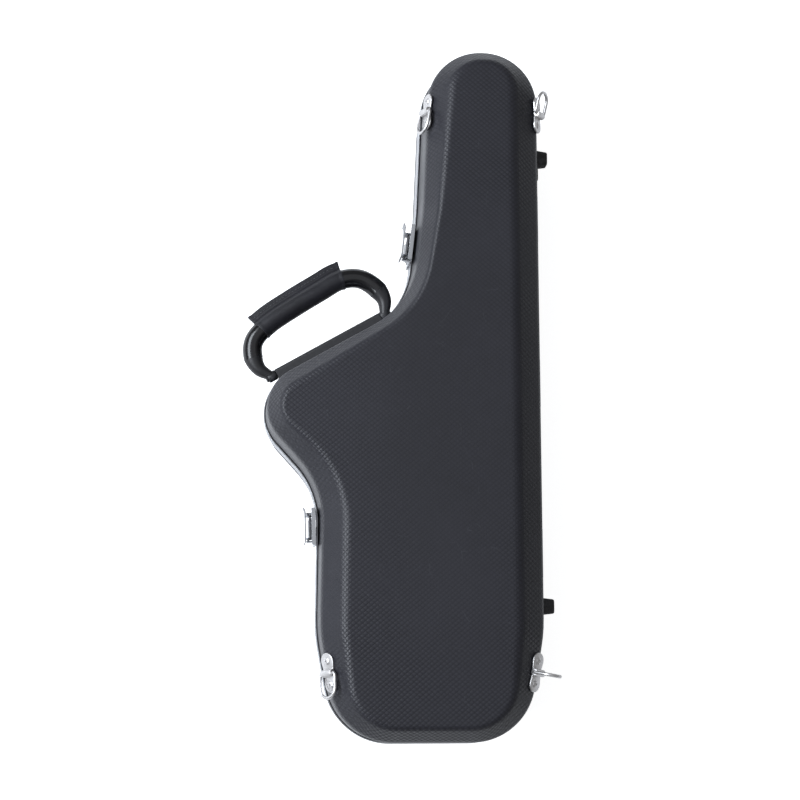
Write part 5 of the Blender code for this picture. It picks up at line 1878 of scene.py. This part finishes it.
@dataclass
class CarryHandle:
    """The carrying handle: glossy arms, matt tapered ends, a leather wrap with a sewn flap, the bar.

    Attributes:
        tube_radius: the arms' radius
        eye_radius: the radius of the eyes on the pins, and half the height of the tabs
        eye_length: the eyes' length along the pins
        eye_edge: how far the eyes' edges are cut
        eye_face: the radius of the flat on an eye's one end
        dish_radius: the radius of the dish in its other end
        dish_depth: the dish's depth
        dish_draft: how much narrower its floor is
        tab_run: the length over which a tab grows to the round arm
        end_scale: a tapered end's width against the arm's that it meets
        grip_start: where the wrap starts, as a share of the handle's length
        grip_end: where it ends
        seam_overlap: how far each arm reaches under the wrap, as such a share
        grip_radius: the wrap's radius
        lip: the wrap's swell at its end and one station further in
        flap_reach: how far the flap reaches from the centre line
        flap_thickness: its thickness
        flap_open: the wrap's opening against the flap's width
        flap_root: how far from the wrap the flap's root starts and ends
        flap_edge: how far in from the flap's edge its rounding starts and ends
        flap_root_width: the flap's width at its root, against its thickness
        flap_edge_width: its width at its edge, against its thickness
        stitch_reach: how far the row of stitches stands from the centre line
        stitch_pitch: the stitches' pitch
        stitch_length: their length
        stitch_radius: the thread's radius
        sides: the sides of what is round
        arm_steps: the steps along an arm
        end_steps: the steps along a tapered end
        grip_steps: the steps along the wrap
    """

    tube_radius: float = 0.0095
    eye_radius: float = 0.005
    eye_length: float = 0.009
    eye_edge: float = 0.0006
    eye_face: float = 0.0025
    dish_radius: float = 0.0041
    dish_depth: float = 0.0004
    dish_draft: float = 0.0001
    tab_run: float = 0.026
    end_scale: float = 0.97
    grip_start: float = 0.26
    grip_end: float = 0.70
    seam_overlap: float = 0.004
    grip_radius: float = 0.0099
    lip: tuple[float, float] = (1.02, 1.045)
    flap_reach: float = 0.0185
    flap_thickness: float = 0.003
    flap_open: float = 1.9
    flap_root: tuple[float, float] = (0.0016, 0.0032)
    flap_edge: tuple[float, float] = (0.0012, 0.0003)
    flap_root_width: float = 1.25
    flap_edge_width: float = 0.7
    stitch_reach: float = 0.0138
    stitch_pitch: float = 0.0036
    stitch_length: float = 0.0026
    stitch_radius: float = 0.0004
    sides: int = 28
    arm_steps: int = 26
    end_steps: int = 14
    grip_steps: int = 64

    def tube(self, shares: list[float], widths: list[tuple[float, float]]) -> Mesh:
        """Sweep a round section along the handle.

        Args:
            shares: the stations, as shares of the handle's length
            widths: the section's half-widths across and up at each station

        Returns:
            The closed tube.
        """
        mesh = bmesh.new()
        frames = []
        for share, (across, tall) in zip(shares, widths):
            frames.append(PATH.station(share)[0] @ Matrix.Diagonal((across, tall, 1, 1)))
        sweep(mesh, draw_circle(mesh, 1.0, self.sides), frames)
        return mesh

    def taper(self, share: float) -> tuple[float, float]:
        """Size the tube: a flat tab at the pin that grows to the round arm.

        Args:
            share: the place, as a share of the handle's length

        Returns:
            The tube's half-widths there, across and up.
        """
        length = PATH.station(0.0)[1]
        tab = max(0.0, 1 - min(share, 1 - share) * length / self.tab_run)
        across = self.tube_radius + tab * (self.eye_length / 2 - self.tube_radius)
        return across, self.tube_radius + tab * (self.eye_radius - self.tube_radius)

    def seam(self) -> float:
        """The share of the handle's length where a tapered end meets its arm."""
        return self.tab_run / PATH.station(0.0)[1]

    def arms(self) -> None:
        """The two glossy arms between the tapered ends and the wrap."""
        spans = {"lobe": (self.seam(), self.grip_start + self.seam_overlap),
                 "neck": (self.grip_end - self.seam_overlap, 1 - self.seam())}
        for name, (low, high) in spans.items():
            shares = [low + (high - low) * i / self.arm_steps for i in range(self.arm_steps + 1)]
            widths = [self.taper(share) for share in shares]
            finish_piece(f"handle_{name}_arm", self.tube(shares, widths), HANDLE_GLOSS,
                         Body.HANDLE.value, "handle_loop", smooth_deg=50)

    def eye(self, place: float) -> Mesh:
        """Make the round eye on one pin, with a flat end and a dished one.

        Args:
            place: how far the eye stands from the handle's middle

        Returns:
            The eye, in place.
        """
        half = self.eye_length / 2
        radius = self.eye_radius
        edge = self.eye_edge
        profile = [(-half, self.eye_face), (-half, radius - edge), (-half + edge, radius),
                   (half - edge, radius), (half, radius - edge), (half, self.dish_radius),
                   (half - self.dish_depth, self.dish_radius - self.dish_draft)]
        turn = Matrix.Rotation(math.radians(90), 4, "Y")
        at = PATH.frame() @ Matrix.Translation((place, 0, 0)) @ turn
        return turn_profile(profile, self.sides, at)

    def ends(self) -> None:
        """The two matt tapered ends, each with a round eye on its pin."""
        offsets = [self.seam() * i / self.end_steps for i in range(self.end_steps + 1)]
        for name, side in (("lobe", 1), ("neck", -1)):
            shares = [offset if side > 0 else 1 - offset for offset in offsets]
            widths = [tuple(self.end_scale * part for part in self.taper(share)) for share in shares]
            whole = join_meshes([self.tube(shares, widths), self.eye(side * PATH.eye_place)])
            finish_piece(f"handle_{name}_end", whole, HANDLE_MATT, Body.HANDLE.value, "handle_loop",
                         smooth_deg=50)

    def grip_section(self) -> list[tuple[float, float]]:
        """Draw the wrap's section: round, drawn together into a flap with a rounded edge.

        Returns:
            The section's points.
        """
        half = self.flap_thickness / 2
        radius = self.grip_radius
        spread = math.asin(half / radius) * self.flap_open
        turns = [spread + (2 * math.pi - 2 * spread) * i / self.sides for i in range(self.sides + 1)]
        points = [(radius * math.cos(turn), radius * math.sin(turn)) for turn in turns]
        root = radius * math.cos(spread)
        reach = self.flap_reach
        lower = [(root + self.flap_root[0], -half * self.flap_root_width),
                 (root + self.flap_root[1], -half),
                 (reach - self.flap_edge[0], -half),
                 (reach - self.flap_edge[1], -half * self.flap_edge_width)]
        upper = [(x, -y) for x, y in reversed(lower)]
        return [*points, *lower, (reach, 0), *upper]

    def grip(self) -> None:
        """The leather wrap with a flared lip at each end."""
        mesh = bmesh.new()
        edges = draw_section(mesh, self.grip_section())
        low, high = self.grip_start, self.grip_end
        frames = []
        for i in range(self.grip_steps + 1):
            share = low + (high - low) * i / self.grip_steps
            near = min(i, self.grip_steps - i)
            swell = self.lip[near] if near < len(self.lip) else 1.0
            frames.append(PATH.station(share)[0] @ Matrix.Diagonal((swell, swell, 1, 1)))
        sweep(mesh, edges, frames)
        finish_piece("handle_leather_wrap", mesh, GRIP_LEATHER, Body.HANDLE.value, "handle_grip",
                     smooth_deg=40)

    def stitch(self, at: Matrix, face: int) -> Mesh:
        """Make one stitch of the flap.

        Args:
            at: the frame of its station
            face: 1 for the flap's upper face, -1 for the lower

        Returns:
            The stitch, in place.
        """
        mesh = bmesh.new()
        bmesh.ops.create_uvsphere(mesh, u_segments=8, v_segments=6, radius=1)
        shape = Matrix.Diagonal((self.stitch_radius, self.stitch_radius, self.stitch_length / 2, 1))
        place = Matrix.Translation((self.stitch_reach, face * self.flap_thickness / 2, 0))
        bmesh.ops.transform(mesh, matrix=at @ place @ shape, verts=mesh.verts)
        return mesh

    def stitches(self) -> None:
        """The row of stitches along both faces of the flap."""
        length = PATH.station(0.0)[1]
        run = (self.grip_end - self.grip_start) * length
        parts = []
        for i in range(int(run / self.stitch_pitch) - 1):
            share = self.grip_start + ((i + 1) * self.stitch_pitch) / length
            at = PATH.station(share)[0]
            parts += [self.stitch(at, face) for face in (-1, 1)]
        finish_piece("handle_flap_stitches", join_meshes(parts), GRIP_THREAD, Body.HANDLE.value,
                     smooth_deg=180)

    def build(self) -> None:
        """Make the handle and dress the bar and the pins that carry it."""
        self.arms()
        self.ends()
        self.grip()
        self.stitches()
        dress_node("handle_mount", HANDLE_MATT)
        for number in (1, 2):
            dress_node(f"handle_pin_{number}", HANDLE_MATT)


# Stage


@dataclass(frozen=True)
class Softbox:
    """A rectangular light aimed at the case.

    Attributes:
        name: the light's name
        place: where it stands
        size: its width and height
        power: its power in watts
        colour: its colour
        aim: the place that it faces
    """

    name: str
    place: Place
    size: tuple[float, float]
    power: float
    colour: Colour
    aim: Place = (-0.02, 0, 0.08)

    def build(self) -> None:
        """Set the light up."""
        light = bpy.data.lights.new(self.name, "AREA")
        light.shape = "RECTANGLE"
        light.size, light.size_y = self.size
        light.energy = self.power
        light.color = self.colour
        item = bpy.data.objects.new(self.name, light)
        item.location = self.place
        way = Vector(self.aim) - Vector(self.place)
        item.rotation_euler = way.to_track_quat("-Z", "Y").to_euler()
        bpy.context.scene.collection.objects.link(item)


@dataclass
class Studio:
    """The pale floor, the soft lights and the camera.

    Attributes:
        eye: where the camera stands
        target: what it looks at
        lens: its focal length in millimetres
        sensor: its sensor's width in millimetres
        nearest: the least distance that it sees
        fill: the strength of the even light from all round
        paper_glow: how much of white the floor adds for the camera
        mirrored_glow: how much of white floor and surround add for mirrors and clear things
        paper: the floor's two greys
        floor_size: the length of its sides
        floor_drop: how far it lies below the case
        softboxes: the lights
    """

    eye: Place = (-0.14998, -0.23575, 1.51324)
    target: Place = (-0.0303, -0.01585, 0.1459)
    lens: float = 67.55
    sensor: float = 36.0
    nearest: float = 0.01
    fill: float = 0.15
    paper_glow: float = 0.8
    mirrored_glow: float = 0.12
    paper: tuple[Colour, Colour] = ((0.93, 0.93, 0.93), (0.95, 0.95, 0.95))
    floor_size: float = 8.0
    floor_drop: float = 0.0005
    softboxes: tuple[Softbox, ...] = (
        Softbox("key_softbox", place=(-1.45, 0.2, 1.5), size=(2.2, 0.9), power=70.0,
                colour=(0.88, 0.93, 1.0)),
        Softbox("ceiling_softbox", place=(0.1, 0.3, 2.6), size=(2.4, 2.6), power=11.0,
                colour=(0.92, 0.95, 1.0)))

    def glow(self, graph: Graph, seen: float) -> Socket:
        """Work out how much of white a backdrop adds.

        Args:
            graph: the backdrop's graph
            seen: how much it adds for the camera

        Returns:
            That much for the camera, and mirrored_glow for mirrors and clear things.
        """
        rays = graph.add("LightPath").outputs
        others = graph.calc("ADD", rays["Is Glossy Ray"], rays["Is Transmission Ray"], clamp=True)
        return graph.calc("MULTIPLY_ADD", rays["Is Camera Ray"], seen,
                          graph.calc("MULTIPLY", others, self.mirrored_glow))

    def floor(self) -> None:
        """A wide pale floor just under the case."""
        mesh = bmesh.new()
        bmesh.ops.create_grid(mesh, x_segments=8, y_segments=8, size=self.floor_size / 2)
        data = bpy.data.meshes.new("studio_floor")
        mesh.to_mesh(data)
        mesh.free()
        made = bpy.data.materials.new("studio_floor_paper")
        made.use_nodes = True
        shader = made.node_tree.nodes["Principled BSDF"]
        graph = Graph(made.node_tree)
        cloud = graph.noise(graph.place(), 60.0, 3.0)
        graph.feed(shader.inputs["Base Color"], graph.tint(cloud, *self.paper))
        graph.feed(shader.inputs["Roughness"], graph.span(cloud, 0.3, 0.7, (0.85, 0.95)))
        shader.inputs["Emission Color"].default_value = (1, 1, 1, 1)
        graph.feed(shader.inputs["Emission Strength"], self.glow(graph, self.paper_glow))
        data.materials.append(made)
        floor = bpy.data.objects.new("studio_floor", data)
        floor.location = (0, 0, -self.floor_drop)
        bpy.context.scene.collection.objects.link(floor)

    def surround(self) -> None:
        """An even grey world, which the camera sees as white."""
        world = bpy.data.worlds.new("studio_surround")
        world.use_nodes = True
        shade = world.node_tree.nodes["Background"]
        shade.inputs["Color"].default_value = (1, 1, 1, 1)
        graph = Graph(world.node_tree)
        added = self.glow(graph, 1 - self.fill)
        graph.feed(shade.inputs["Strength"], graph.calc("ADD", added, self.fill))
        bpy.context.scene.world = world

    def camera(self) -> None:
        """The camera at the photograph's angle, with +Y up in the picture."""
        data = bpy.data.cameras.new("photo_camera")
        data.lens = self.lens
        data.sensor_width = self.sensor
        data.clip_start = self.nearest
        item = bpy.data.objects.new("photo_camera", data)
        eye, target = Vector(self.eye), Vector(self.target)
        back = (eye - target).normalized()
        right = Vector((0, 1, 0)).cross(back).normalized()
        item.matrix_world = frame_of(eye, right, back.cross(right), back)
        bpy.context.scene.collection.objects.link(item)
        bpy.context.scene.camera = item

    def build(self) -> None:
        """Set up the studio."""
        bpy.context.scene.view_settings.view_transform = "Standard"
        self.floor()
        self.surround()
        for softbox in self.softboxes:
            softbox.build()
        self.camera()


def main() -> None:
    """Build the case's sub-assemblies in order."""
    logging.basicConfig(level=logging.INFO, format="%(name)s: %(message)s")
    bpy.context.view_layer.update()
    Studio().build()
    MouldedShell("base_shell", Body.BASE, Side.DOWN, BASE_SECTION).build()
    MouldedShell("lid_shell", Body.LID, Side.UP, LID_SECTION).build()
    Valance("base_valance", Body.BASE, Side.DOWN, BASE_VALANCE_SECTION).build()
    Valance("lid_valance", Body.LID, Side.UP, LID_VALANCE_SECTION).build()
    dress_node("seal", SEAL_RUBBER)
    FoamLining("base_lining", Body.BASE, Side.UP).build()
    FoamLining("lid_lining", Body.LID, Side.DOWN).build()
    for index in (1, 2, 3):
        SpineHinge(index).build()
    for name in ("upper_latch", "lower_latch"):
        DrawLatch(name).build()
    StrapRing("top_left", y=0.264, flank=Flank.LEFT, height=0.056, angle_deg=8.0).build()
    StrapRing("bottom_left", y=-0.2654, flank=Flank.LEFT, height=0.059, angle_deg=12.0).build()
    StrapRing("bottom_right", y=-0.2654, flank=Flank.RIGHT, height=0.059, angle_deg=90.0).build()
    StrapRing("top_right", y=0.264, flank=Flank.RIGHT, height=0.056, angle_deg=15.0).build()
    CarryHandle().build()
    for part, body in (("lid", Body.LID), ("base", Body.BASE)):
        for end in ("top", "bottom"):
            Foot(f"{part}_foot_{end}", body).build()


if __name__ == "__main__":
    main()
